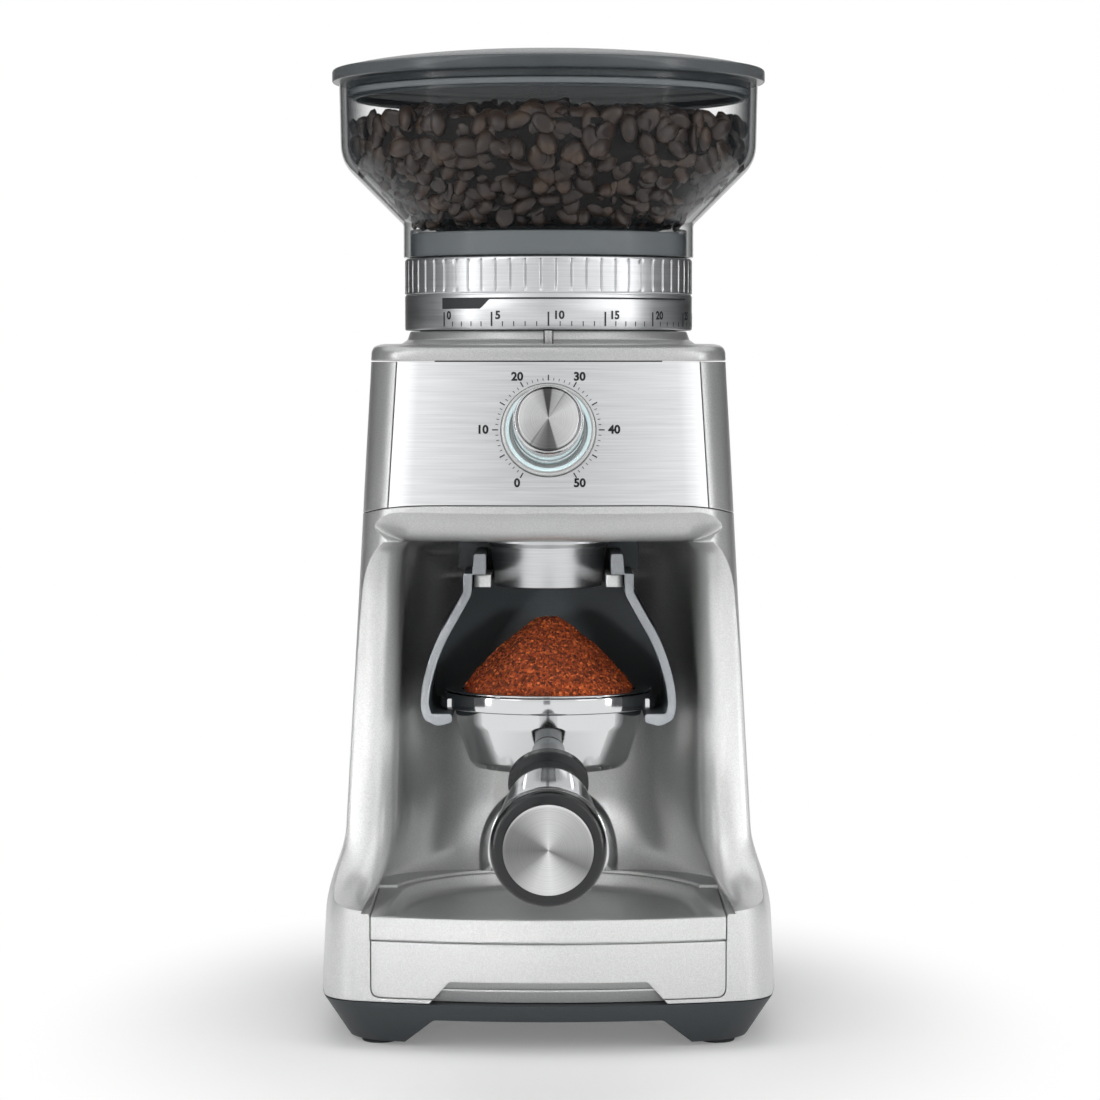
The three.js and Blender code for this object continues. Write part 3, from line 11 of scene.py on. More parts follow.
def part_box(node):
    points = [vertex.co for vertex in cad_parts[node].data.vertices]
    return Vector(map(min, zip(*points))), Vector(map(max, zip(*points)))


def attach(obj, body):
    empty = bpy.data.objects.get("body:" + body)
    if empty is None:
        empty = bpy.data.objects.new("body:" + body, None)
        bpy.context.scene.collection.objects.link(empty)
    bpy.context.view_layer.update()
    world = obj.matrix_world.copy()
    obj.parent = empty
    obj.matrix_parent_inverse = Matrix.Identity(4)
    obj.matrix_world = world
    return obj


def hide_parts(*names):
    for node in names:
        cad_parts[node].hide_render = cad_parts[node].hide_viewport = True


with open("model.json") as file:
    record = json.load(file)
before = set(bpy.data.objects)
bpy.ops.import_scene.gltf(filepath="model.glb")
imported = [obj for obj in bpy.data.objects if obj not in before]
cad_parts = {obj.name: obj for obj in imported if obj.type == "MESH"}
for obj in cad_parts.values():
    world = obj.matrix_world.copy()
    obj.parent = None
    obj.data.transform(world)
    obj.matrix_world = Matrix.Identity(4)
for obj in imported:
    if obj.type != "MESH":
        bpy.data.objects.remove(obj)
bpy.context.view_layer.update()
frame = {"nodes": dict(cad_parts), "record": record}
mm = 0.001
gap = 0.35                                             # clearance between neighbouring pieces
beyond = 150                                           # cutting bodies end this far out
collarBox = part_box("grind_collar")
burrY = (collarBox[0].y + collarBox[1].y) / 2 / mm     # burr axis, behind the middle of the footprint


def at(x, y, z):
    # a place from the burr axis, in millimetres, as metres in the frame
    return Vector((x * mm, (y + burrY) * mm, z * mm))


def placed(x, y, z, turn=0):
    # sets a shape at that place, first turned about X by that many degrees
    return Matrix.Translation(at(x, y, z)) @ Matrix.Rotation(math.radians(turn), 4, "X")


def mix(a, b, share):
    return a + (b - a) * share


def smoothstep(low, high, value):
    t = min(1, max(0, (value - low) / (high - low)))
    return t * t * (3 - 2 * t)


def spread(low, high, steps):
    # evenly spaced values, both ends included
    return [mix(low, high, i / steps) for i in range(steps + 1)]


def bend(start, control, end, steps):
    # a curve from start to end that leans on the control point
    a, b, c = (Vector(p) for p in (start, control, end))
    return [a.lerp(b, t).lerp(b.lerp(c, t), t) for t in spread(0, 1, steps)]


def through(keys, value):
    # a smooth curve through (place, value) keys that never overshoots them
    places = [k[0] for k in keys]
    if value <= places[0]:
        return keys[0][1]
    if value >= places[-1]:
        return keys[-1][1]
    i = max(n for n in range(len(keys) - 1) if places[n] <= value)
    slopes = [(b[1] - a[1]) / (b[0] - a[0]) for a, b in zip(keys, keys[1:])]

    def tangent(n):
        if n == 0 or n == len(keys) - 1:
            return slopes[min(n, len(slopes) - 1)]
        before, after = slopes[n - 1], slopes[n]
        return 0 if before * after <= 0 else 2 * before * after / (before + after)

    width = places[i + 1] - places[i]
    t = (value - places[i]) / width
    return ((2 * t**3 - 3 * t**2 + 1) * keys[i][1] + (t**3 - 2 * t**2 + t) * width * tangent(i)
            + (3 * t**2 - 2 * t**3) * keys[i + 1][1] + (t**3 - t**2) * width * tangent(i + 1))


# shaping
def pick(*objs):
    # selects only these, the first one active
    if bpy.context.object and bpy.context.object.mode != "OBJECT":
        bpy.ops.object.mode_set(mode="OBJECT")
    bpy.ops.object.select_all(action="DESELECT")
    for obj in objs:
        obj.select_set(True)
    if objs:
        bpy.context.view_layer.objects.active = objs[0]


def tidyMesh(obj, capEnds=False):
    # welds doubled points, closes open ends and turns the faces out
    pick(obj)
    bpy.ops.object.mode_set(mode="EDIT")
    bpy.ops.mesh.select_all(action="SELECT")
    bpy.ops.mesh.remove_doubles(threshold=2e-6)
    if capEnds:
        bpy.ops.mesh.fill_holes(sides=0)
        bpy.ops.mesh.select_all(action="SELECT")
    bpy.ops.mesh.normals_make_consistent(inside=False)
    bpy.ops.object.mode_set(mode="OBJECT")
    return obj


def wrapped(name, rings, capEnds=True):
    # a grid laid on a stack of closed rings of (x, y, z), welded round
    pick()
    across = len(rings[0])
    bpy.ops.mesh.primitive_grid_add(x_subdivisions=across, y_subdivisions=len(rings) - 1, size=1)
    obj = bpy.context.object
    obj.name = name
    for index, vertex in enumerate(obj.data.vertices):
        row, column = divmod(index, across + 1)
        vertex.co = at(*rings[row][column % across])
    return tidyMesh(obj, capEnds)


def turned(name, profile, steps=96, place=None):
    # a profile of (radius, height) spun about its own Z axis, then set at its place
    pick()
    bpy.ops.mesh.primitive_plane_add(size=mm, location=(0, 0, 0))
    obj = bpy.context.object
    obj.name = name
    bpy.ops.object.mode_set(mode="EDIT")
    bpy.ops.mesh.merge(type="CENTER")
    spots = [Vector((radius * mm, 0, height * mm)) for radius, height in profile]
    bpy.ops.transform.translate(value=spots[0])
    for here, there in zip(spots, spots[1:]):
        bpy.ops.mesh.extrude_vertices_move(TRANSFORM_OT_translate={"value": there - here})
    bpy.ops.mesh.select_all(action="SELECT")
    bpy.ops.mesh.spin(steps=steps, angle=2 * math.pi, center=(0, 0, 0), axis=(0, 0, 1))
    tidyMesh(obj)
    obj.data.transform(place or placed(0, 0, 0))
    return obj


def rod(name, radius, low, high, place=None, steps=72):
    return turned(name, [(0, low), (radius, low), (radius, high), (0, high)], steps, place)


def filleted(points, radius=0.6, steps=4, closed=False):
    # rounds the corners of an outline; a point may carry its own radius as a third value
    count = len(points)
    made = []
    for i, point in enumerate(points):
        here = Vector(point[:2])
        own = point[2] if len(point) > 2 else radius
        back = Vector(points[i - 1][:2]) - here
        ahead = Vector(points[(i + 1) % count][:2]) - here
        ends = not closed and i in (0, count - 1)
        if own == 0 or ends or min(back.length, ahead.length) < 1e-6:
            made.append(tuple(here))
            continue
        half = back.angle(ahead, math.pi) / 2
        if half > math.radians(88):                      # nearly straight on
            made.append(tuple(here))
            continue
        reach = min(own / math.tan(half), back.length * 0.49, ahead.length * 0.49)
        made += [tuple(p) for p in bend(here + back.normalized() * reach, here,
                                        here + ahead.normalized() * reach, steps)]
    return made


def prism(name, outline, low, high, axis="Z"):
    # a closed outline drawn out between two heights along an axis; the outline's own axes follow it
    put = {"X": lambda a, b, h: (h, a, b), "Y": lambda a, b, h: (a, h, b),
           "Z": lambda a, b, h: (a, b, h)}[axis]
    return wrapped(name, [[put(a, b, h) for a, b in outline] for h in (low, high)])


def block(name, x0, x1, y0, y1, z0, z1):
    return prism(name, [(x0, y0), (x1, y0), (x1, y1), (x0, y1)], z0, z1)


def modified(obj, kind, **settings):
    pick(obj)
    made = obj.modifiers.new("shape", kind)
    for key, value in settings.items():
        setattr(made, key, value)
    bpy.ops.object.modifier_apply(modifier=made.name)
    return obj


def cut(target, *cutters, operation="DIFFERENCE"):
    # an exact boolean with each cutter, which is used up
    for cutter in cutters:
        modified(target, "BOOLEAN", operation=operation, solver="EXACT", object=cutter)
        bpy.data.objects.remove(cutter)
    return target


def eased(obj, width, segments=3, angle=35):
    # rounds every edge sharper than the angle
    return modified(obj, "BEVEL", width=width * mm, segments=segments, limit_method="ANGLE",
                    angle_limit=math.radians(angle), use_clamp_overlap=True)


def copyAt(model, place):
    # a copy with its own mesh
    made = model.copy()
    made.data = model.data.copy()
    bpy.context.scene.collection.objects.link(made)
    made.data.transform(place)
    return made


def joinAll(name, pieces):
    pick(*pieces)
    bpy.ops.object.join()
    pieces[0].name = name
    return pieces[0]


def finished(obj, finish, body, slot, *nodes, angle=32):
    # smooth shading, its finish, the body it rides on and the nodes it stands for
    pick(obj)
    bpy.ops.object.shade_smooth_by_angle(angle=math.radians(angle))
    obj.data.materials.clear()
    obj.data.materials.append(materials[finish])
    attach(obj, body)
    if nodes:
        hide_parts(*nodes)
    return obj


# nodes and colours
def linear(code):
    # "#rrggbb" as linear RGBA
    parts = [int(code[i:i + 2], 16) / 255 for i in (1, 3, 5)]
    return (*[c / 12.92 if c <= 0.04045 else ((c + 0.055) / 1.055) ** 2.4 for c in parts], 1)


def addNode(tree, kind, inputs=None, stops=(), out=0, **settings):
    # a node with its settings, links and ramp stops; gives back one of its outputs
    made = tree.nodes.new(kind)
    for key, value in settings.items():
        setattr(made, key, value)
    for key, value in (inputs or {}).items():
        if isinstance(value, bpy.types.NodeSocket):
            tree.links.new(value, made.inputs[key])
        else:
            made.inputs[key].default_value = value
    for index, (place, colour) in enumerate(stops):
        if index > 1:
            made.color_ramp.elements.new(place)
        made.color_ramp.elements[index].position = place
        made.color_ramp.elements[index].color = colour
    return made.outputs[out]


def newMaterial(name, colour, roughness, metallic=0.0, **sockets):
    # a Principled material with its plain sockets set, and its Object coordinates
    material = bpy.data.materials.new(name)
    material.use_nodes = True
    tree = material.node_tree
    shader = tree.nodes["Principled BSDF"]
    sockets.update(Base_Color=linear(colour), Roughness=roughness, Metallic=metallic)
    for key, value in sockets.items():
        shader.inputs[key.replace("_", " ")].default_value = value
    return material, tree, addNode(tree, "ShaderNodeTexCoord", out="Object")


def cycles(size):
    # noise scale for a feature of that many millimetres
    return 1 / (size * mm)


def patterned(material, grain, tones=None, into="Base_Color", rub=None, bump=None, edge=0, **sockets):
    # what one grain drives: a mix of two tones, a range of roughness, and a bump (strength, mm)
    # with edges rounded by so many mm; other outputs are linked by name
    tree = material.node_tree
    if tones:
        low, high = (linear(tone) if isinstance(tone, str) else tone for tone in tones)
        sockets[into] = addNode(tree, "ShaderNodeMix", {"Factor": grain, 6: low, 7: high}, out=2,
                                data_type="RGBA")
    if rub:
        sockets["Roughness"] = addNode(tree, "ShaderNodeMapRange",
                                       {"Value": grain, "To Min": rub[0], "To Max": rub[1]})
    if bump:
        sockets["Normal"] = addNode(tree, "ShaderNodeBump",
                                    {"Height": grain, "Strength": bump[0], "Distance": bump[1] * mm})
    if edge:
        sockets["Normal"] = addNode(tree, "ShaderNodeBevel",
                                    {"Radius": edge * mm, "Normal": sockets["Normal"]}, samples=4)
    for key, socket in sockets.items():
        tree.links.new(socket, tree.nodes["Principled BSDF"].inputs[key.replace("_", " ")])
    return material


# ABS, injection moulded and sprayed metallic silver: soft broad highlights with a fine sparkle
def makeSilverAbs():
    material, tree, place = newMaterial("silverPaintedAbs", "#c3c4c4", 0.32, 0.62)
    flake = addNode(tree, "ShaderNodeTexNoise", {"Vector": place, "Scale": cycles(0.45), "Detail": 2.0})
    tone = addNode(tree, "ShaderNodeMapRange", {"Value": flake, "From Min": 0.35, "From Max": 0.65})
    mixed = addNode(tree, "ShaderNodeMix", {"Factor": tone, 6: linear("#bdbebe"), 7: linear("#cbcccb")},
                    out=2, data_type="RGBA")
    return patterned(material, flake, bump=(0.06, 0.05), edge=0.5, Base_Color=mixed)


# stainless steel, brushed level: long fine lines, highlights spread up and down
def makeBrushedSteel(name):
    material, tree, place = newMaterial(name, "#cfd0d1", 0.3, 1.0, Anisotropic=0.6)
    drawn = addNode(tree, "ShaderNodeMapping", {"Vector": place, "Scale": (0.02, 0.02, 1.0)})
    lines = addNode(tree, "ShaderNodeTexNoise", {"Vector": drawn, "Scale": cycles(0.5), "Detail": 3.0})
    facing = addNode(tree, "ShaderNodeNewGeometry", out="Normal")
    along = addNode(tree, "ShaderNodeVectorMath", {0: (0.0, 0.0, 1.0), 1: facing}, operation="CROSS_PRODUCT")
    return patterned(material, lines, ("#c0c2c4", "#e6e7e8"), rub=(0.24, 0.38), bump=(0.15, 0.03),
                     Tangent=along)


# stainless steel turned on a lathe: fine rings about an axis, with painted highlights and shade that fan out
# round its centre
def makeSpunSteel(name, centre, turn, paintedFan):
    # paintedFan: painted highlight and shade, how bright the steel is painted at each share of a turn
    material, tree, place = newMaterial(name, "#c9cacb", 0.3, 1.0, Anisotropic=0.75)
    shifted = addNode(tree, "ShaderNodeVectorMath", {0: place, 1: tuple(centre)}, operation="SUBTRACT")
    flat = addNode(tree, "ShaderNodeVectorRotate",
                   {"Vector": shifted, "Axis": (1.0, 0.0, 0.0), "Angle": turn}, rotation_type="AXIS_ANGLE")
    across = addNode(tree, "ShaderNodeVectorMath", {0: flat, 1: (1.0, 1.0, 0.0)}, operation="MULTIPLY")
    radius = addNode(tree, "ShaderNodeVectorMath", {0: across}, out="Value", operation="LENGTH")
    lines = addNode(tree, "ShaderNodeTexNoise", {"W": radius, "Scale": cycles(0.35), "Detail": 3.0},
                    noise_dimensions="1D")
    tone = addNode(tree, "ShaderNodeMix", {"Factor": lines, 6: linear("#cfd0d1"), 7: linear("#f2f2f2")},
                   out=2, data_type="RGBA")
    # painted reflection: the colour is multiplied, share by share round the centre, by the fan of painted
    # highlight and shade
    sweep = addNode(tree, "ShaderNodeTexGradient", {"Vector": flat}, out="Fac", gradient_type="RADIAL")
    paintedRays = addNode(tree, "ShaderNodeValToRGB", {"Fac": sweep}, [(share, (c, c, c, 1)) for share, c in paintedFan])
    shaded = addNode(tree, "ShaderNodeMix", {"Factor": 1.0, 6: tone, 7: paintedRays}, out=2, data_type="RGBA",
                     blend_type="MULTIPLY")
    spindle = Vector((0, 0, 1))
    spindle.rotate(Matrix.Rotation(-turn, 4, "X"))
    around = addNode(tree, "ShaderNodeVectorMath", {0: tuple(spindle), 1: shifted}, operation="CROSS_PRODUCT")
    unit = addNode(tree, "ShaderNodeVectorMath", {0: around}, operation="NORMALIZE")
    return patterned(material, lines, rub=(0.24, 0.38), Base_Color=shaded, Tangent=unit)


# plain finishes with one even grain, given by its size in millimetres and the tones it mixes
def makePlain(name, colour, roughness, size, detail=3.0, metallic=0.0, look=None, **sockets):
    material, tree, place = newMaterial(name, colour, roughness, metallic, **sockets)
    grain = addNode(tree, "ShaderNodeTexNoise", {"Vector": place, "Scale": cycles(size), "Detail": detail})
    return patterned(material, grain, **look)


# moulded plastic or cast metal: a fine spark-eroded grain and softly rounded edges
def makeMoulded(name, colour, lift, roughness, grain=0.6, alpha=1.0):
    return makePlain(name, colour, roughness, grain, Alpha=alpha,
                     look={"tones": (colour, lift), "bump": (0.3, 0.08), "edge": 0.4})


# roasted coffee: dark brown skin with an oily gloss, some beans lighter than others
def makeBean():
    material, tree, place = newMaterial("roastedCoffeeBean", "#2a1c15", 0.36)
    lot = addNode(tree, "ShaderNodeTexNoise", {"Vector": place, "Scale": cycles(8), "Detail": 1.0})
    shade = addNode(tree, "ShaderNodeValToRGB", {"Fac": lot},
                    [(0.35, linear("#18110f")), (0.52, linear("#30241e")), (0.66, linear("#54402f"))])
    wrinkle = addNode(tree, "ShaderNodeTexNoise", {"Vector": place, "Scale": cycles(1.1), "Detail": 3.0})
    return patterned(material, wrinkle, (shade, "#3a2c25"), bump=(0.35, 0.2))


# ground coffee: dry orange-brown crumbs, each with its own tone
def makeGrounds():
    material, tree, place = newMaterial("groundCoffeeCrumbs", "#7a3517", 0.95)
    crumbs = addNode(tree, "ShaderNodeTexVoronoi", {"Vector": place, "Scale": cycles(0.8)}, out="Color")
    one = addNode(tree, "ShaderNodeSeparateColor", {"Color": crumbs}, out="Red")
    tones = [(0.0, "#2e1005"), (0.45, "#62270d"), (0.85, "#843a18"), (1.0, "#a45428")]
    tone = addNode(tree, "ShaderNodeValToRGB", {"Fac": one}, [(share, linear(code)) for share, code in tones])
    grain = addNode(tree, "ShaderNodeTexNoise", {"Vector": place, "Scale": cycles(0.5), "Detail": 3.0})
    return patterned(material, grain, bump=(0.9, 0.5), Base_Color=tone)


# polycarbonate tinted smoke grey, moulded clear and glossy
def makeSmoked():
    # a thin wall: see-through face on, a grey veil towards its edges
    material, tree, place = newMaterial("smokedPolycarbonate", "#5f676b", 0.06, 0.0, IOR=1.5)
    edge = addNode(tree, "ShaderNodeLayerWeight", {"Blend": 0.5}, out="Facing")
    veil = addNode(tree, "ShaderNodeMapRange",
                   {"Value": edge, "From Min": 0.45, "From Max": 1.0, "To Min": 0.04, "To Max": 0.9},
                   interpolation_type="SMOOTHSTEP")
    tint = addNode(tree, "ShaderNodeValToRGB", {"Fac": edge},
                   [(0.4, linear("#50575b")), (0.9, linear("#262c2f"))])
    flow = addNode(tree, "ShaderNodeTexNoise", {"Vector": place, "Scale": cycles(30), "Detail": 2.0})
    return patterned(material, flow, rub=(0.04, 0.1), Base_Color=tint, Alpha=veil)


materials = {
    "silver_abs": makeSilverAbs(),
    "brushed_steel": makeBrushedSteel("brushedStainlessSteel"),
    "brushed_ring": makeBrushedSteel("brushedSteelSleeve"),
    # steel, polished and chromed: a mirror with faint wipe marks
    "polished_steel": makePlain("polishedChrome", "#d9dadb", 0.07, 9, 4.0, 1.0, {"rub": (0.04, 0.12)}),
    # filled ABS and nylon: dark greys with a dull to satin sheen
    "dark_abs": makeMoulded("darkGreyAbs", "#25292b", "#303538", 0.5),
    "black_abs": makeMoulded("blackSatinNylon", "#0b0c0d", "#121314", 0.2),
    "grey_edge": makeMoulded("greyAbs", "#66696c", "#75787b", 0.45),
    "grey_nylon": makeMoulded("greyNylon", "#767c7f", "#82888b", 0.45),
    "nylon": makeMoulded("naturalNylon", "#d4d1c6", "#dedbd2", 0.5),
    # die-cast metal, blasted: mid grey with a soft satin highlight
    "cast_grey": makeMoulded("satinCastMetal", "#5c6062", "#686c6e", 0.32),
    # printed ink: flat near black with a slight sheen and thin spots
    "black_print": makePlain("screenPrintInk", "#26282a", 0.5, 0.4, 2.0,
                             look={"tones": ("#1c1e20", "#34373a")}),
    "smoked_clear": makeSmoked(),
    # smoked polycarbonate with a moulded grain: dark, with a little light soaking through
    "smoked_lid": makeMoulded("smokedLid", "#3f464a", "#495054", 0.25, alpha=0.8),
    # silicone and rubber: soft matt greys that hardly shine
    "soft_seal": makeMoulded("siliconeSeal", "#7d8386", "#8b9194", 0.6),
    "rubber": makeMoulded("blackRubber", "#17191a", "#202324", 0.8),
    "bean_brown": makeBean(),
    # painted shade: the near-black fill seen in the gaps between the beans
    "bean_shadow": makeMoulded("beanGapShade", "#0e0a08", "#191210", 0.95, 3),
    "grounds_brown": makeGrounds(),
    # acrylic light guide, moulded milky and lit from behind: a soft even glow
    "lamp_white": makePlain("milkyAcrylic", "#cfe3e6", 0.35, 5, 2.0, Emission_Strength=0.22,
                            look={"tones": ("#d3f2f6", "#eefbfc"), "into": "Emission_Color"}),
    # inside, seen only when it is opened: lacquered board, oily bronze and turned steel
    "board_green": makeMoulded("solderMask", "#1c5a39", "#246b45", 0.5, 4),
    "bronze": makeMoulded("sinteredBronze", "#8a5a34", "#9a6a42", 0.4),
    "steel": makeMoulded("machinedSteel", "#85898c", "#979b9e", 0.35),
}
for part in frame["record"]["subparts"]:
    node = frame["nodes"][part["node"]]
    node.data.materials.clear()
    node.data.materials.append(materials[part["material_slot"]])
print("materials done")


# housing form
housing = {"floor": 15.7, "deck": 44.5, "ceiling": 164, "seam": 173.4, "seamSide": 172.4, "seamRise": 3.7,
           "headTop": 223.4, "half": 62.5, "taper": 0.0534, "flare": 5.4, "flareLow": 40, "flareHigh": 68,
           "baseFront": 116, "headFront": 90, "lean": math.radians(12.1), "baseBack": 103, "columnBack": 94,
           "backLean": 0.05, "bow": 13.5, "bowHigh": 0.62, "sideBow": 4, "rearDraw": 6.4, "rearBow": 5,
           "widest": -50, "frontCorner": 9, "backCorner": 22, "wall": 2.6, "step": 2.5}
lean = math.tan(housing["lean"])


def outlineAt(z):
    # half width, front, back and front bow of the housing at one height
    flare = 1 - smoothstep(housing["flareLow"], housing["flareHigh"], z)
    front = housing["headFront"] - (z - housing["seam"]) * lean
    if z < housing["seam"]:
        front = mix(housing["baseFront"], housing["headFront"],
                    smoothstep(housing["deck"], housing["seam"], z))
    back = housing["columnBack"] - (z - housing["flareHigh"]) * housing["backLean"]
    half = housing["half"] + (housing["seam"] - z) * housing["taper"] + housing["flare"] * flare
    bow = housing["bow"] * mix(housing["bowHigh"], 1, flare)
    return half, front, mix(back, housing["baseBack"], flare), bow


def frontAt(x, z, inset=0):
    # y of the bowed front wall
    half, front, _, bow = outlineAt(z)
    return -(front - inset) + bow * (x / (half - inset)) ** 2


def housingRing(z, inset=0, level=None):
    # bowed front, gently bowed sides, flatter back and rounded corners
    half, front, back, bow = outlineAt(z)
    w, f, b = half - inset, front - inset, back - inset
    frontCorner = (w - housing["sideBow"], -f + bow)
    backCorner = (w - housing["rearDraw"], b - housing["rearBow"])
    depth = backCorner[1] - frontCorner[1]
    widest = (housing["widest"] - frontCorner[1]) / depth

    def side(t):
        draw, away = ((housing["sideBow"], (widest - t) / widest) if t < widest
                      else (housing["rearDraw"], (t - widest) / (1 - widest)))
        return (w - draw * away**2, mix(frontCorner[1], backCorner[1], t))

    lastFront, lastBack = frontCorner[0] - housing["frontCorner"], backCorner[0] - housing["backCorner"]
    first, last = housing["frontCorner"] / depth, 1 - housing["backCorner"] / depth
    points = [(x, -f + bow * (x / w) ** 2) for x in spread(0, lastFront, 12)][:-1]
    points += bend((lastFront, -f + bow * (lastFront / w) ** 2), frontCorner, side(first), 8)
    points += [side(t) for t in spread(first, last, 18)[1:-1]]
    points += bend(side(last), backCorner, (lastBack, b - housing["rearBow"] * (lastBack / w) ** 2), 10)
    points += [(x, b - housing["rearBow"] * (x / w) ** 2) for x in spread(lastBack, 0, 8)[1:]]
    points += [(-x, y) for x, y in reversed(points[1:-1])]
    return [(x, y, z if level is None else level) for x, y in points]


def housingBlock(name, levels, inset=0):
    return wrapped(name, [housingRing(z, inset) for z in levels])


def tall(low, high, step=housing["step"]):
    # heights about a step apart, with the bend at the seam kept crisp
    levels = spread(low, high, round((high - low) / step))
    return sorted(levels + [housing["seam"]]) if low < housing["seam"] < high else levels


def seamAt(x):
    return housing["seamSide"] + housing["seamRise"] * (1 - min(1, abs(x / housing["half"])) ** 8)


def seamRegion(name, far, offset=0):
    # all that lies between the seam and a height far above or below it
    line = [(x, seamAt(x) + offset) for x in [-90] + spread(-housing["half"], housing["half"], 60) + [90]]
    return prism(name, [(-90, far)] + line + [(90, far)], -beyond, beyond, "Y")


# lower housing with its alcove
# the alcove's front edge, half width and back by height, and its levels from deck and ceiling
alcove = {"nose": [(44.5, -150), (45.7, -106), (49, -95), (54.5, -86), (66.5, -78.5), (102.5, -74),
                   (146, -76), (160, -80.5), (164, -83)],
          "half": [(44.5, 61), (45.7, 60), (49, 57), (54.5, 54), (66.5, 51), (102.5, 50), (146, 49.6),
                   (160, 48.6), (164, 46)],
          "back": [(44.5, -4), (45.7, -2.4), (49, 1), (54.5, 3.8), (66.5, 6), (146, 6), (155, 5.4),
                   (160, 2.5), (162.6, -1.5), (164, -8)],
          "roll": 11, "round": 34, "arch": 1.5, "clear": 2.5,
          "rise": (0, 0.15, 0.4, 0.8, 1.2, 2, 3, 4.5, 6, 8, 10, 13, 17, 22, 28, 36, 46, 58),
          "drop": (14, 11, 9, 7.5, 6, 5, 4, 3, 2.2, 1.4, 0.7, 0.3, 0)}
# above the ceiling the alcove rolls into the front wall, by rise
brow = {"mouth": [(0.05, 48), (1.6, 53), (4, 57), (7, 59.5), (9.9, 60.5)],
        "depth": [(0.05, 9), (0.3, 7.6), (1, 6), (2.5, 4.6), (5, 3), (7.5, 1.5), (9.9, -0.2)],
        "roll": 4, "round": 3,
        "rise": (0.05, 0.3, 0.7, 1.2, 1.8, 2.5, 3.4, 4.4, 5.4, 6.4, 7.4, 8.4, 9.3, 9.9)}


def alcoveRing(z, nose, half, back, roll, rounding, arch):
    # the alcove and the air ahead of its two cheeks, whose fronts are half ellipses
    outer = outlineAt(z)[0] + alcove["clear"]
    middle, reach = (outer + half) / 2, (outer - half) / 2
    radius = min(rounding, half - 4)
    points = [(outer + 40, -beyond - 15), (outer + 40, nose + roll)]
    points += [(middle + reach * math.cos(a), nose + roll * (1 - math.sin(a)))
               for a in spread(0, math.pi, 28)]
    for i, angle in enumerate(spread(0, math.pi / 2, 14)):
        x = half - radius + radius * math.cos(angle)
        y = back - arch * (x / half) ** 2 - radius + radius * math.sin(angle)
        points.append((x, max(y, nose + roll + 0.4 + i * 0.02)))       # never crosses the cheeks
    points += [(x, back - arch * (x / half) ** 2) for x in spread(half - radius, 0, 5)[1:-1]]
    points += [(-x, y) for x, y in reversed(points)]
    return [(x, y, z) for x, y in points]


def alcoveBlock():
    deck, ceiling = housing["deck"], housing["ceiling"]
    levels = [deck + rise for rise in alcove["rise"]] + spread(deck + 66, ceiling - 18, 5)
    levels += [ceiling - drop for drop in alcove["drop"]]
    rings = [alcoveRing(z, *(through(alcove[key], z) for key in ("nose", "half", "back")), alcove["roll"],
                        alcove["round"], alcove["arch"]) for z in levels]
    for rise in brow["rise"]:
        rings.append(alcoveRing(ceiling + rise, -housing["headFront"] + 6 - rise * 0.4,
                                through(brow["mouth"], rise),
                                through(brow["depth"], rise) - housing["headFront"], brow["roll"],
                                brow["round"], -housing["bow"] * housing["bowHigh"]))
    return wrapped("alcoveCutter", rings)


outlet = {"y": -54, "lip": 20.4, "tip": 17.8, "low": 148, "wall": 2.2}
overOutlet = placed(0, outlet["y"], 0)
tray = {"radius": 52.8, "half": 57.7, "shoulder": -42, "low": 36.4, "high": 43.6, "lip": 3.6, "splay": 4.3}
plate = {"low": 17.6, "high": 44, "half": 57.5, "corner": 3.2, "thick": 2}
trigger = {"z": 109.5, "radius": 5}
triggerLine = placed(0, 0, trigger["z"], -90)
undercut = {"half": 40.5, "narrow": 32, "low": 12, "step": 14, "high": 23.2, "depth": 7, "roof": 23.7}
cover = {"half": 42, "foot": 71, "head": 160, "corner": 7}
gland = {"z": 26, "radius": 5.5, "bore": 3.6}


def trayOutline(grow=0, front=-beyond):
    # straight sides at the front, a round end behind
    radius, half, shoulder = tray["radius"] + grow, tray["half"] + grow, tray["shoulder"] + grow
    meet = math.asin((shoulder - outlet["y"]) / radius)
    arc = [(radius * math.cos(a), outlet["y"] + radius * math.sin(a))
           for a in spread(meet, math.pi - meet, 64)]
    return [(-half, front), (half, front), (half, shoulder)] + arc + [(-half, shoulder)]


def roundedBox(half, low, high, radius, grow=0, steps=8):
    edge, radius = half + grow, radius + grow * 0.5
    corners = [(-edge, low - grow), (edge, low - grow), (edge, high + grow), (-edge, high + grow)]
    return filleted(corners, radius, steps, closed=True)


def archUndercut():
    # the shallow recess under the middle of the front, which follows the bow of the base
    u = undercut
    right = [(u["half"], u["low"]), (u["half"], u["step"]), (u["narrow"], u["high"], 1.5)]
    left = [(-x, *others) for x, *others in reversed(right)]
    region = prism("undercut", filleted(right + left, 0, 5, closed=True), -130, -90, "Y")
    levels = ((u["depth"], u["low"] - 1), (u["depth"], u["low"] + 1), (0, u["roof"]))
    return cut(region, wrapped("kept", [housingRing(20, inset, level) for inset, level in levels]))


def rearTurn(z):
    # local +Z points out of the rear wall at that height
    return placed(0, outlineAt(z)[2], z, -90)


def plateRegion(name, grow=0):
    return prism(name, roundedBox(plate["half"], plate["low"], plate["high"], plate["corner"], grow), -beyond,
                 -90, "Y")


def coverRegion(name, grow=0):
    return prism(name, roundedBox(cover["half"], cover["foot"], cover["head"], cover["corner"], grow), 60,
                 130, "Y")


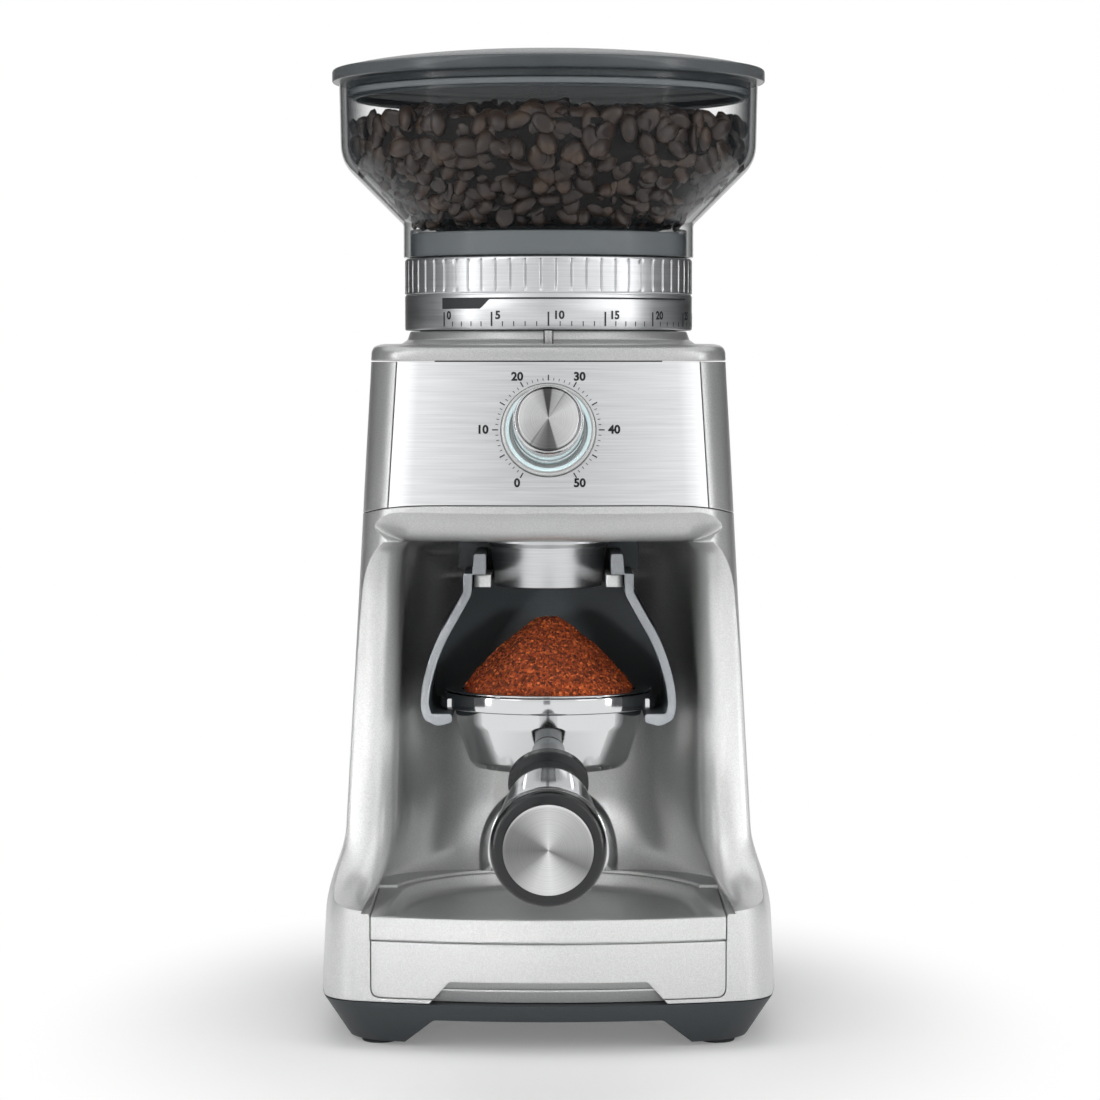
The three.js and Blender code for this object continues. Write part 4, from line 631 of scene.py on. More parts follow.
def lowerHousing():
    wall = housing["wall"]
    shell = housingBlock("lowerHousing", tall(housing["floor"] + gap, housing["seam"] + 4))
    inside = housingBlock("inside", tall(housing["floor"] - 1, housing["seam"] + 5, 6), wall)
    rearOfAlcove = max(z for _, z in alcove["back"])
    cut(inside,
        block("underTray", -beyond, beyond, -beyond, rearOfAlcove + wall, tray["low"] - gap - wall,
              housing["ceiling"] + wall),
        block("baseNose", -beyond, beyond, -beyond, -housing["baseFront"] + 18, 0, 60),
        block("headNose", -beyond, beyond, -beyond, -76, housing["ceiling"], housing["seam"] + 8))
    grows = [(tray["low"] - gap, gap), (43.2, gap), (44.1, gap + 0.1), (44.4, gap + 0.25), (44.65, gap + 0.5)]
    bay = wrapped("bay", [[(x, y, z) for x, y in trayOutline(grow)] for z, grow in grows])
    seat = cut(plateRegion("plateSeat", gap),
               housingBlock("plateCore", (10, 24, 38, 48), plate["thick"] + gap))
    ceiling = housing["ceiling"]
    return cut(shell, alcoveBlock(), inside, bay, seat, coverRegion("hatch", gap), archUndercut(),
               seamRegion("aboveSeam", 260),
               rod("outletBore", outlet["lip"] + gap, ceiling - 8, ceiling + 12, overOutlet),
               rod("triggerBore", trigger["radius"] + gap, -2, 30, triggerLine, 40),
               rod("leadBore", gland["radius"] + gap, -20, 20, rearTurn(gland["z"]), 40))


finished(lowerHousing(), "silver_abs", "housing", "silver_abs", "lower_housing")
print("lower housing done")


def frontPlate():
    skin = housingBlock("frontPlate", spread(14, 46, 16))
    cut(skin, plateRegion("plateShape"), operation="INTERSECT")
    return cut(skin, housingBlock("plateBack", spread(12, 48, 8), plate["thick"]), archUndercut(),
               block("trayRoom", -80, 80, -beyond, -80, tray["low"] - 2 * gap, 60))


finished(eased(frontPlate(), 0.35, 2), "silver_abs", "housing", "silver_abs", "front_plate")

basePan = {"foot": 1.5, "taper": 8.3, "span": 46.9, "arch": 37.3, "rise": 10, "depth": 36}


def pan():
    # feet on all four corners, with a flat arch between them on every side
    top = housing["floor"]
    rings = [housingRing(top, mix(basePan["taper"], 0, share), mix(basePan["foot"], top, share))
             for share in spread(0, 1, 6)]
    body = wrapped("basePan", rings)
    arch, rise = basePan["arch"], basePan["rise"]
    slope = (basePan["span"] - arch) / (rise - basePan["foot"])
    low = basePan["span"] + slope * (basePan["foot"] + 1)
    across = [(-low, -1), (low, -1), (arch, rise, 3), (-arch, rise, 3)]
    front, back = basePan["depth"] - housing["baseFront"], housing["baseBack"] - basePan["depth"]
    along = [(front - slope * 8, -1), (back + slope * 8, -1), (back - slope * 2, rise, 3),
             (front + slope * 2, rise, 3)]
    cut(body, prism("archAcross", filleted(across, 0, 6, closed=True), -beyond, beyond, "Y"),
        prism("archAlong", filleted(along, 0, 6, closed=True), -beyond, beyond, "X"))
    return eased(body, 1.1, 3, 40)


finished(pan(), "dark_abs", "housing", "dark_abs", "base_pan")
footPad = {"radius": 6, "height": 3.2, "x": 55.5, "front": -90, "rear": 80}
padProfile = filleted([(0, 0), (footPad["radius"], 0, 0.9), (footPad["radius"], footPad["height"], 0.2),
                       (0, footPad["height"])], 0.5, 5)
for end in ("front", "rear"):
    for side, sign in (("left", -1), ("right", 1)):
        pad = turned("footPad" + end.capitalize() + side.capitalize(), padProfile, 40,
                     placed(footPad["x"] * sign, footPad[end], 0))
        finished(pad, "rubber", "housing", "rubber", f"foot_pad_{end}_{side}")


def rearCover():
    skin = housingBlock("rearCover", tall(cover["foot"] - 3, cover["head"] + 6))
    cut(skin, coverRegion("coverShape"), operation="INTERSECT")
    cut(skin, housingBlock("coverBack", tall(cover["foot"] - 6, cover["head"] + 9, 6), housing["wall"]))
    for z in spread(cover["foot"] + 8, cover["foot"] + 40, 4):
        slot = filleted([(-24, z), (24, z), (24, z + 3), (-24, z + 3)], 1.45, 6, closed=True)
        cut(skin, prism("coverSlot", slot, 60, 130, "Y"))
    return eased(skin, 0.3, 2)


finished(rearCover(), "silver_abs", "housing", "silver_abs", "rear_cover")
r, bore, skin = gland["radius"], gland["bore"], housing["wall"] + gap
profile = [(bore, -7), (r + 2, -7), (r + 2, -skin), (r, -skin), (r, gap), (r + 1.5, gap, 0.4),
           (r + 1.3, 1.2, 0.5), (bore + 1.4, 3, 0.5), (bore, 3, 0.3), (bore, -7)]
finished(turned("cordGland", filleted(profile, 0.2), 48, rearTurn(gland["z"])), "rubber", "housing",
         "rubber", "cord_gland")
print("base and rear done")


# head housing, control panel and top cap
panel = {"half": 52.7, "topHalf": 50.1, "inset": 0.3, "thick": 1}
collar = {"radius": 50.3, "low": 234.3, "high": 259.3, "band": 246.4, "flutes": 60, "deep": 0.6,
          "groove": 0.08}
ringOuter = collar["radius"] - 5.3                     # outside of the adjusting ring


def panelRegion(name, grow=0):
    wide, narrow, top = panel["half"] + grow, panel["topHalf"] + grow, housing["headTop"] + grow
    low = [(x, seamAt(x) + gap - grow) for x in spread(-wide, wide, 50)]
    return prism(name, low + [(narrow, top), (-narrow, top)], -120, -55, "Y")


def headSkin(name, inset, margin=0, step=4):
    return housingBlock(name, tall(housing["seam"] - 4 - margin, housing["headTop"] + margin, step), inset)


dial = {"z": 201.1, "lightRing": 15.5, "knob": 12, "face": 10.2, "height": 20.3, "travel": 1.5, "bore": 3.6,
        "groove": 14.2}
dialDepth = housing["headFront"] - (dial["z"] - housing["seam"]) * lean
ontoPanel = placed(0, -dialDepth, dial["z"], 90 - math.degrees(housing["lean"]))
head = headSkin("headHousing", 0, step=2)
panelBack = panel["inset"] + panel["thick"]
seat = cut(panelRegion("panelSeat", gap), headSkin("seatCore", panelBack + gap, 1))
cut(head, headSkin("headHollow", housing["wall"], 1, 8), seat, seamRegion("belowSeam", 0, gap),
    rod("shaftBore", dial["bore"], -9, 5, ontoPanel, 32))
finished(head, "silver_abs", "housing", "silver_abs", "head_housing")

face = panelRegion("controlPanel")
cut(face, headSkin("panelFace", panel["inset"], 1, 2), operation="INTERSECT")
cut(face, headSkin("panelBack", panelBack, 2), rod("ringHole", dial["lightRing"] + gap, -9, 6, ontoPanel))
finished(face, "brushed_steel", "housing", "brushed_steel", "control_panel")

topCap = {"low": 223.75, "high": 229.4, "neck": 48.6, "flare": 51.5, "pointer": 1.25,
          "edge": [(0, 0.25), (0.12, 0.06), (0.35, 0), (2.6, 0.1), (3.4, 0.3), (4.1, 0.65), (4.6, 1.05),
                   (4.95, 1.6), (5.25, 2.3), (5.45, 3.1), (5.65, 4.2)]}


def capSlab():
    # a rounded slab with a flared neck, open in the middle for the adjusting ring
    top, low, high, neckTop = housing["headTop"], topCap["low"], topCap["high"], collar["low"] - gap
    slab = wrapped("topCap", [housingRing(top, inset, low + rise) for rise, inset in topCap["edge"]])
    cut(slab, wrapped("capHollow", [housingRing(top, 2.6, low - 1.05), housingRing(top, 6.5, low + 3.05)]))
    flare, neck = topCap["flare"], topCap["neck"]
    profile = [(0, high - 2), (flare, high - 2), (flare + 0.6, high - 0.1, 0.3),
               (neck + 0.9, high + 1.6, 1.5), (neck, neckTop - 0.4, 0.4), (neck - 0.4, neckTop), (0, neckTop)]
    cut(slab, turned("neck", filleted(profile, 0.2, 6), 128),
        rod("neckSeat", ringOuter + 2.6, low, high - 1, steps=96), operation="UNION")
    notch = topCap["pointer"] + gap
    return cut(slab, rod("ringBore", ringOuter + gap, low - 2.75, neckTop + 1, steps=96),
               block("notch", -notch, notch, -60, -neck + 1, high - 1.2, neckTop + 1))


finished(capSlab(), "silver_abs", "housing", "silver_abs", "top_cap")
pointer = block("indexPointer", -topCap["pointer"], topCap["pointer"], -topCap["flare"] - 0.6,
                -topCap["neck"] + 1 - gap, topCap["high"] - 0.8, collar["low"] - gap)
finished(eased(pointer, 0.35, 2), "silver_abs", "housing", "black_abs", "index_pointer")
print("head done")


# dose dial
ringMarks = {"tick": 16.6, "long": 1.9, "short": 0.9, "wide": 0.2,
             "wideLong": 0.4, "numeral": 20.4, "aside": 1.3, "size": 3.9, "bold": 0.036, "rise": 0.12}


def lightRing():
    seat, inner, outer, groove = -panelBack - gap + 0.3, dial["knob"] + 0.9, dial["lightRing"], dial["groove"]
    profile = [(inner, seat), (outer, seat), (outer, 0.9, 0.5), (groove + 0.3, 1.2, 0.15),
               (groove + 0.2, 0.95), (groove, 0.95), (groove - 0.1, 1.15, 0.1), (inner, 1.2, 0.3),
               (inner, seat)]
    return turned("lightRing", filleted(profile, 0.15, 3), 120, ontoPanel)


ring = finished(lightRing(), "lamp_white", "housing", "lamp_white", "light_ring")
ring.data.materials.append(materials["silver_abs"])    # beyond the groove it is a silver bezel
for polygon in ring.data.polygons:
    if (polygon.center - ontoPanel.translation).length > (dial["groove"] - 0.05) * mm:
        polygon.material_index = 1
knobBase, knobFront = dial["travel"] + 0.5, dial["height"] - 1.7


def knob():
    r, f = dial["knob"], dial["face"]
    profile = [(0, knobFront - 5.6), (3.6, knobFront - 5.6), (3.6, knobBase + 1), (r - 1.4, knobBase + 1),
               (r - 1.4, knobBase), (r, knobBase + 0.2, 0.3), (r - 0.25, 5.2, 0.2), (r - 0.55, 5.5, 0.2),
               (r - 0.55, 6.0, 0.2), (r - 0.3, 6.3, 0.2), (r - 0.5, knobFront - 1, 0.9),
               (r - 1.0, knobFront, 0.5), (f + gap, knobFront, 0.15), (f + gap, knobFront - 1),
               (0, knobFront - 1)]
    return turned("dialKnob", filleted(profile, 0.2, 5), 120, ontoPanel)


finished(knob(), "polished_steel", "dial", "polished_steel", "dial_knob")
# painted highlight and shade round the dial face, share by share of a turn
dialPaintedFan = [(0, 0.95), (0.1, 0.8), (0.146, 0.66), (0.154, 0.28), (0.164, 0.5), (0.195, 0.3), (0.25, 0.16),
           (0.29, 0.2), (0.302, 0.72), (0.4, 0.95), (0.58, 0.95), (0.652, 0.6), (0.66, 0.36), (0.668, 0.66),
           (0.725, 0.46), (0.735, 0.1), (0.775, 0.09), (0.787, 0.5), (0.86, 0.85), (1, 0.95)]
tilt = housing["lean"] - math.pi / 2
materials["spun_steel"] = makeSpunSteel("spunSteelCap", ontoPanel.translation, tilt, dialPaintedFan)
r = dial["face"]
profile = [(0, knobFront - 1 + gap), (r, knobFront - 1 + gap), (r, knobFront + 0.6, 0.3),
           (r - 0.5, knobFront + 1.1, 0.4), (r - 3, knobFront + 1.25), (0, knobFront + 1.4)]
finished(turned("dialFace", filleted(profile, 0.2, 4), 120, ontoPanel), "spun_steel", "dial", "brushed_steel",
         "dial_face")


def textMesh(words, size, place, thick=0.1):
    # plain numerals as a thin closed mesh, centred on their place
    pick()
    bpy.ops.object.text_add(location=(0, 0, 0))
    made = bpy.context.object
    made.data.body = words
    made.data.size = size * mm
    made.data.offset = ringMarks["bold"] * size * mm
    made.data.extrude = thick * mm / 2
    made.data.align_x, made.data.align_y = "CENTER", "CENTER"
    made.data.resolution_u = 4
    bpy.ops.object.convert(target="MESH")
    made.data.transform(place)
    return made


def dialMarks():
    # printed ticks every minute step and plain numbers every ten, on a surface with the panel's bow
    pieces = []
    for count in range(51):
        angle = math.radians(6 * count - 150)
        long = count % 5 == 0
        reach = ringMarks["long"] if long else ringMarks["short"]
        wide = ringMarks["wideLong"] if long else ringMarks["wide"]
        pick()
        bpy.ops.mesh.primitive_grid_add(x_subdivisions=1, y_subdivisions=2, size=mm)
        tick = bpy.context.object
        out = Matrix.Translation((0, (ringMarks["tick"] + reach / 2) * mm, 0))
        tick.data.transform(Matrix.Rotation(-angle, 4, "Z") @ out @ Matrix.Diagonal((wide, reach, 1, 1)))
        pieces.append(tick)
    for number in range(0, 60, 10):
        angle = math.radians(6 * number - 150)
        r = (ringMarks["numeral"] + ringMarks["aside"] * abs(math.sin(angle)) ** 3) * mm
        spot = Matrix.Translation((r * math.sin(angle), r * math.cos(angle), 0))
        pieces.append(textMesh(str(number), ringMarks["size"], spot, 0.02))
    marks = joinAll("dialMarks", pieces)
    marks.data.transform(ontoPanel)
    for vertex in marks.data.vertices:
        x, z = vertex.co.x / mm, vertex.co.z / mm
        vertex.co.y = (frontAt(x, z, panel["inset"]) + burrY - ringMarks["rise"]) * mm
    return marks


finished(dialMarks(), "black_print", "housing", "black_abs")
print("dial done")


# grind collar with its flutes and scale
def grindCollar():
    r, low, high, band = collar["radius"], collar["low"], collar["high"], collar["band"]
    shares = (0, 0.2, 0.4, 0.43, 0.465, 0.5, 0.535, 0.57, 0.6, 0.8)
    steps = collar["flutes"] * len(shares)
    inner = ringOuter + gap
    sleeve = [(inner, low), (r - 0.6, low), (r - 0.15, low + 0.15), (r, low + 0.6), (r, band - 0.35),
              (r - 0.1, band - 0.1), (r - 0.35, band), (r - 0.35, band + 0.35), (r - 0.1, band + 0.5),
              (r, band + 0.8)]
    fluted = [(r, z) for z in spread(band + 1, high - 1.4, 6)]
    top = [(r, high - 0.9), (r - 0.2, high - 0.4), (r - 0.7, high), (inner, high)]
    rings = []
    for radius, z in sleeve + fluted + top:
        # the flutes run out at both ends
        deep = collar["deep"] * smoothstep(band + 0.7, band + 1.6, z)
        deep *= 1 - smoothstep(high - 1.6, high - 0.9, z)
        ring = []
        for i in range(steps):
            count, part = divmod(i, len(shares))
            groove = max(0, 1 - abs(shares[part] - 0.5) / collar["groove"]) if radius > r - 0.3 else 0
            out = radius - deep * math.sin(groove * math.pi / 2)
            turn = 2 * math.pi * (count + shares[part]) / collar["flutes"]
            ring.append((out * math.cos(turn), out * math.sin(turn), z))
        rings.append(ring)
    return wrapped("grindCollar", rings + [rings[0]], capEnds=False)


finished(grindCollar(), "brushed_ring", "grind_collar", "brushed_steel", "grind_collar", angle=25)

scale = {"low": 235.5, "long": 240.3, "short": 237.1, "wideLong": 0.32, "wide": 0.17, "step": 4.5,
         "first": -45, "numeral": 3.8, "numeralAt": 239.1, "line": 244.6, "lineHigh": 245.2, "lineEnd": 70,
         "tab": 241.4, "tabFull": -27.4, "tabEnd": -22.8, "tabSlope": 0.83, "grow": 0.06,
         "thick": 0.05}


def aroundCollar(made, turn, up, grow):
    # a flat mesh bent round the collar band: x along it from that angle, y up from that height
    for vertex in made.data.vertices:
        spot = vertex.co / mm
        angle = math.radians(turn) + spot.x / collar["radius"]
        r = collar["radius"] + grow + spot.z
        vertex.co = at(r * math.sin(angle), -r * math.cos(angle), up + spot.y)
    return made


def collarPatch(name, start, end, lowStart, lowEnd, high):
    # a thin patch of ink between two angles, whose lower edge may slope
    degree = math.radians(1) * collar["radius"]
    corners = ((start, lowStart), (end, lowEnd), (end, high), (start, high))
    flat = prism(name, [(turn * degree, z) for turn, z in corners], 0, scale["thick"])
    return aroundCollar(flat, 0, -burrY, scale["grow"])


def collarMarks():
    # fine steps and plain numbers round the band, an arrow line and a bare tab
    s = scale
    pieces = []
    for count in range(61):
        turn = s["first"] + s["step"] * count
        high, wide = (s["long"], s["wideLong"]) if count % 5 == 0 else (s["short"], s["wide"])
        pieces.append(collarPatch("tick", turn - wide, turn + wide, s["low"], s["low"], high))
        if count % 5 == 0:
            flat = textMesh(str(count), s["numeral"], Matrix.Identity(4), s["thick"])
            aside = 2.6 if count < 10 else 4.0           # degrees past its step
            pieces.append(aroundCollar(flat, turn + aside, s["numeralAt"], s["grow"] + 0.01))
    line = spread(s["first"] - 1, s["lineEnd"], 46)
    for a, b in zip(line, line[1:]):
        pieces.append(collarPatch("arrowLine", a, b + 0.02, s["line"], s["line"], s["lineHigh"]))
    tab = spread(s["first"] - 1, s["tabEnd"], 24)
    for a, b in zip(tab, tab[1:]):
        low = [s["tab"] + max(0, t - s["tabFull"]) * s["tabSlope"] for t in (a, b)]
        pieces.append(collarPatch("tab", a, b + 0.05, *low, s["lineHigh"]))
    return joinAll("collarMarks", pieces)


finished(collarMarks(), "black_print", "grind_collar", "black_abs")

# tower, hopper and lid
hopper = {"wall": 2.2, "neck": 50.8, "foot": collar["high"] + gap, "shoulder": 271.2, "bend": 293,
          "bowl": 72.6, "rim": 73.2, "top": 320.2, "throat": 24, "throatLow": 256.6, "round": 15}
tower = {"thread": 40, "rise": 8.7, "carrier": 256.45}


def adjustingRing():
    r, inner = hopper["neck"] - hopper["wall"] - 0.4, tower["thread"] + gap
    foot, high = topCap["low"] + 1, collar["high"]
    profile = [(inner, foot), (ringOuter, foot), (ringOuter, high + gap), (r, high + gap, 0.3),
               (r, high + tower["rise"], 0.8), (ringOuter + 0.4, high + tower["rise"], 0.8),
               (ringOuter + 0.4, high + 3), (inner, tower["carrier"]), (inner, foot)]
    return turned("adjustingRing", filleted(profile, 0.2), 96)


finished(adjustingRing(), "grey_nylon", "grind_collar", "nylon", "adjusting_ring")


def hopperShell():
    h, wall = hopper, hopper["wall"]
    inner = h["neck"] - wall
    profile = [(inner, h["foot"], 0.5), (h["neck"], h["foot"], 0.5), (h["neck"], h["shoulder"], 2.2),
               (h["bowl"], h["bend"], h["round"]), (h["rim"], h["top"], 0.8),
               (h["rim"] - wall, h["top"], 0.8), (h["bowl"] - wall, h["bend"] + 0.9, h["round"] - wall),
               (inner - 1, h["shoulder"] + 1, 2), (h["throat"] - 1, h["shoulder"] - 6, 2),
               (h["throat"] - wall, h["shoulder"] - 8, 1), (h["throat"] - wall, h["throatLow"], 0.5),
               (h["throat"], h["throatLow"], 0.5), (h["throat"], h["shoulder"] - 10.4, 1),
               (inner, h["shoulder"] - 1.6, 0.8), (inner, h["foot"], 0.5)]
    return turned("hopper", filleted(profile, 0.5, 8), 160)


finished(hopperShell(), "smoked_clear", "hopper", "smoked_clear", "hopper")

lid = {"radius": 75.6, "low": hopper["top"] + gap, "rim": 4.6, "dome": 6, "skirt": 5.6,
       "shares": (0.995, 0.98, 0.95, 0.9, 0.84, 0.75, 0.65, 0.5, 0.35, 0.2, 0.08, 0)}
plug = hopper["rim"] - hopper["wall"] - 0.3 - 1.3


def lidShell():
    top, skirt = lid["low"] + lid["rim"], hopper["top"] - lid["skirt"]
    edge = lid["radius"] - 3
    low, wall = lid["low"], hopper["wall"]
    dome = [(edge * share, top + lid["dome"] * (1 - share**2) ** 0.75, 0) for share in lid["shares"]]
    under = [(0, top + lid["dome"] - wall, 0), (edge * 0.5, top + lid["dome"] * 0.78 - wall, 0),
             (plug - 2, low + 1.4, 0.5), (plug - 2, skirt, 0.3)]
    profile = [(plug - 2, skirt, 0.3), (plug - 0.9, skirt, 0.4), (plug - 0.9, skirt + 3.6, 0.2),
               (plug, skirt + 3.6, 0.3), (plug, low, 0.2), (lid["radius"], low, 0.7),
               (lid["radius"], top - 0.3, 1.6), (edge + 0.9, top + 0.05, 0.4),
               (edge + 0.3, top - 0.15, 0.3)] + dome + under
    return turned("hopperLid", filleted(profile, 0.2, 5), 160)


finished(lidShell(), "smoked_lid", "lid", "smoked_lid", "hopper_lid", angle=40)
low, high = hopper["top"] - 4.4, hopper["top"] - 2.4
seal = [(plug - 0.55, low), (plug + 0.6, low, 0.4), (plug + 1.1, high - 0.5, 0.6), (plug + 0.7, high, 0.3),
        (plug - 0.55, high), (plug - 0.55, low)]
finished(turned("lidSeal", filleted(seal, 0.3), 120), "soft_seal", "lid", "soft_seal", "lid_seal")
print("collar, hopper and lid done")


# coffee beans
beans = {"long": 10.2, "wide": 7.2, "thick": 5.6, "level": 304.6, "heap": 5.4, "count": 1800, "room": 5.5,
         "seed": 7, "tries": 90000, "inset": 3.1, "shell": 9, "cover": 8, "ripple": 0.6}


def oneBean():
    # an ellipsoid with one flat side and the crease along it
    pick()
    bpy.ops.mesh.primitive_uv_sphere_add(segments=10, ring_count=6, radius=mm / 2)
    bean = bpy.context.object
    for vertex in bean.data.vertices:
        x, y, z = vertex.co / mm * 2
        flat = 0.42 if z < 0 else 1.0
        crease = 0.3 * math.exp(-(y / 0.16) ** 2) if z < 0 else 0
        curve = 0.08 * math.sin(x * 2.4)
        across = (y + (curve if z < 0 else 0)) * (1 - 0.12 * x * x)
        up = z * flat + crease * (1 - x * x)
        vertex.co = Vector((x * beans["long"], across * beans["wide"], up * beans["thick"])) * mm / 2
    return bean


def beanHeap():
    draw = random.Random(beans["seed"])
    h, b, wall = hopper, beans, hopper["wall"] + 0.5

    def wallAt(z):
        return min(h["neck"] - wall * 1.4 + (z - h["shoulder"]), h["bowl"] - wall + 0.3)

    places = []
    for _ in range(b["tries"]):
        if len(places) == b["count"]:
            break
        z = draw.uniform(h["shoulder"] + 1.5, b["level"] + b["heap"])
        turn, r = draw.uniform(0, 2 * math.pi), wallAt(z) * math.sqrt(draw.uniform(0, 1))
        top = b["level"] + b["heap"] * (1 - (r / h["bowl"]) ** 2) + b["ripple"] * math.sin(7 * turn)
        limit = wallAt(z) - b["inset"]
        hidden = r < limit - b["shell"] and z < top - b["cover"]       # neither at the wall nor on top
        if r > limit or z > top or hidden:
            continue
        spot = Vector((r * math.cos(turn), r * math.sin(turn), z))
        if all((spot - other).length >= b["room"] for other in places[-700:]):
            places.append(spot)
    model = oneBean()
    copies = []
    for spot in places:
        outward = Vector((spot.x, spot.y, 0)).normalized()
        near = spot.xy.length > wallAt(spot.z) - 8
        tilt = Vector((draw.gauss(0, 1), draw.gauss(0, 1), draw.gauss(0, 1))).normalized()
        lift = Vector((0, 0, 0.1 if near else 0.5))
        facing = outward * (1.0 if near else 0.1) + tilt * (0.55 if near else 1) + lift
        turn = facing.to_track_quat("Z" if draw.random() < 0.7 else "-Z", "X").to_matrix().to_4x4()
        spin = Matrix.Rotation(draw.uniform(0, math.pi), 4, "Z")
        size = draw.uniform(0.88, 1.08)
        copies.append(copyAt(model, placed(*spot) @ turn @ spin @ Matrix.Scale(size, 4)))
    bpy.data.objects.remove(model)
    return joinAll("coffeeBeans", copies)


finished(beanHeap(), "bean_brown", "hopper", "bean_brown", "coffee_beans", angle=60)
# a dark body under the beans, from the throat to the heap's top: painted shade in the gaps between them
core = [(0, 257), (20, 257), (20, 262), (45, 272.5), (64, 291), (66.3, 294), (66.3, 304.6), (38, 309.4),
        (0, 310.8)]
finished(turned("beanCore", core, 48), "bean_shadow", "hopper", "bean_brown")
print("beans done")


# outlet, rail and cradle
def outletSpout():
    lip, tip, low, wall = (outlet[key] for key in ("lip", "tip", "low", "wall"))
    ceiling = housing["ceiling"]
    top = ceiling + housing["wall"] + 5.6
    profile = [(tip - wall, low, 0.5), (tip, low, 0.5), (tip + 1.7, ceiling - 2.6, 0.6),
               (lip, ceiling - 1.2, 0.8), (lip, top), (lip - wall, top), (lip - wall, ceiling - 1, 1),
               (tip - wall, low, 0.5)]
    return turned("outletSpout", filleted(profile, 0.3, 5), 96, overOutlet)


finished(outletSpout(), "brushed_ring", "housing", "brushed_steel", "outlet_spout")
rail = {"half": 24.8, "thick": 4, "long": 44, "low": outlet["low"] + 0.8}
rail["front"], rail["back"] = outlet["y"] - rail["long"] / 2, outlet["y"] + rail["long"] / 2
rail["top"] = rail["low"] + rail["thick"]
bossFront = rail["back"] - 6


def cradleRail():
    half, bore, under, over = rail["half"], outlet["tip"] + 1 + gap, rail["low"] - 8.8, rail["top"] + 1
    corners = [(-half, rail["front"]), (half, rail["front"]), (half, rail["back"]), (-half, rail["back"])]
    bar = prism("cradleRail", filleted(corners, 3, 6, closed=True), rail["low"], rail["top"])
    cut(bar, block("railRoom", -bore, bore, rail["front"] - 1, outlet["y"], under, over),
        rod("railBore", bore, under, over, overOutlet))
    return eased(bar, 0.9, 4)


def railBoss():
    boss = rod("railBoss", rail["half"] + 6, rail["top"], housing["ceiling"] - gap, placed(0, bossFront, 0))
    return cut(boss, block("bossRoom", -60, 60, -beyond, bossFront, rail["low"] - 5, housing["ceiling"] + 5),
               rod("bossBore", outlet["lip"] + gap, rail["top"] - 1, housing["ceiling"] + 2, overOutlet))


finished(cradleRail(), "silver_abs", "housing", "silver_abs", "cradle_rail")
finished(railBoss(), "dark_abs", "housing", "silver_abs")

bowl = {"rim": 35.3, "top": 113.6, "radius": 31.5, "low": 87, "ear": 36.6, "earLow": 107.3, "earThick": 3.6,
        "earHalf": 14, "basket": 29.2, "basketLow": 91}
cradle = {"front": -80, "back": -14, "skin": 2.5, "tab": housing["ceiling"] - 4, "hook": bowl["earLow"] - gap,
          "sweep": [(106, 41.6), (110, 42.3), (115.1, 41.9), (123.6, 39.9), (132.1, 36.6), (139.7, 32.4),
                    (147.3, 28.2)]}


def cradleFrame():
    # two swept sides with hooks for the ears, joined by a thin back
    sweep, front, back, tab, hook = (cradle[key] for key in ("sweep", "front", "back", "tab", "hook"))
    half, low, ears = rail["half"], outlet["low"], bowl["radius"]
    lip, railTop = outlet["lip"] + 0.3, rail["top"] + gap
    curved = [(through(sweep, z), z, 0) for z in spread(147.3, 107, 26)]
    outer = [(half - 0.2, tab, 0.8), (half + 0.35, tab - 6.5, 0), (half + 3.4, tab - 6.5, 0.8),
             (half + 3.4, tab - 11.2, 0.5)] + curved
    outer += [(41.2, hook - 1.95, 5), (36.8, hook - 4.2, 5), (ears + 0.4, hook - 2.75, 1.2)]
    inner = [(ears + 0.4, hook - 0.9, 0.5), (ears + 1, hook, 0.3), (38.9, hook, 1.2),
             *[(through(sweep, z + 1.1) - 2.6, z, 0) for z in spread(110.2, 146, 26)],
             (half + 0.6, low - 0.4, 0.4), (half + 0.35, railTop, 0.2), (lip, railTop, 0.4), (lip, tab, 0.8)]
    sides = []
    for sign in (-1, 1):
        outline = filleted([(x * sign, z, r) for x, z, r in outer + inner], 0, 8, closed=True)
        sides.append(eased(prism("cradleSide", outline, front, back, "Y"), 0.45, 2, 50))
    rear = [(half + 0.6, low - 0.6, 0)] + [(x - 0.3, z, r) for x, z, r in curved]
    rear += [(40.8, hook - 1.95, 5), (36.3, hook - 4.05, 3)]
    rear += [(-x, z, r) for x, z, r in reversed(rear)]
    skin = prism("cradleBack", filleted(rear, 0, 8, closed=True), back - cradle["skin"], back, "Y")
    frameMesh = cut(sides[0], sides[1], skin, operation="UNION")
    frameMesh.name = "cradle"
    room = block("cradleHead", -60, 60, bossFront - 0.7, 10, low - 0.5, housing["ceiling"] + 6)
    bore = rod("cradleBore", trigger["radius"] + 0.6, back - 8, back + 2, triggerLine, 40)
    return cut(frameMesh, room, bore)


def lightFront(obj, finish, front, depth=0.6):
    # faces at the front edge take a lighter finish
    obj.data.materials.append(finish)
    limit = at(0, front + depth, 0).y
    for face in obj.data.polygons:
        if all(obj.data.vertices[i].co.y < limit for i in face.vertices):
            face.material_index = 1
    return obj


lightFront(finished(cradleFrame(), "dark_abs", "cradle", "dark_abs", "cradle"), materials["grey_edge"],
           cradle["front"])


def doseTrigger():
    r, tip, flange = trigger["radius"], outlet["y"] + bowl["rim"] + gap, housing["wall"] + gap + 6
    profile = [(0, tip), (r, tip, 1.2), (r, flange), (r + 2, flange), (r + 2, flange + 2, 0.4),
               (r - 2, flange + 2), (r - 2, flange + 8, 0.5), (0, flange + 8)]
    return turned("doseTrigger", filleted(profile, 0.2, 5), 48, triggerLine)


finished(doseTrigger(), "black_abs", "trigger", "black_abs", "dose_trigger")
print("outlet and cradle done")


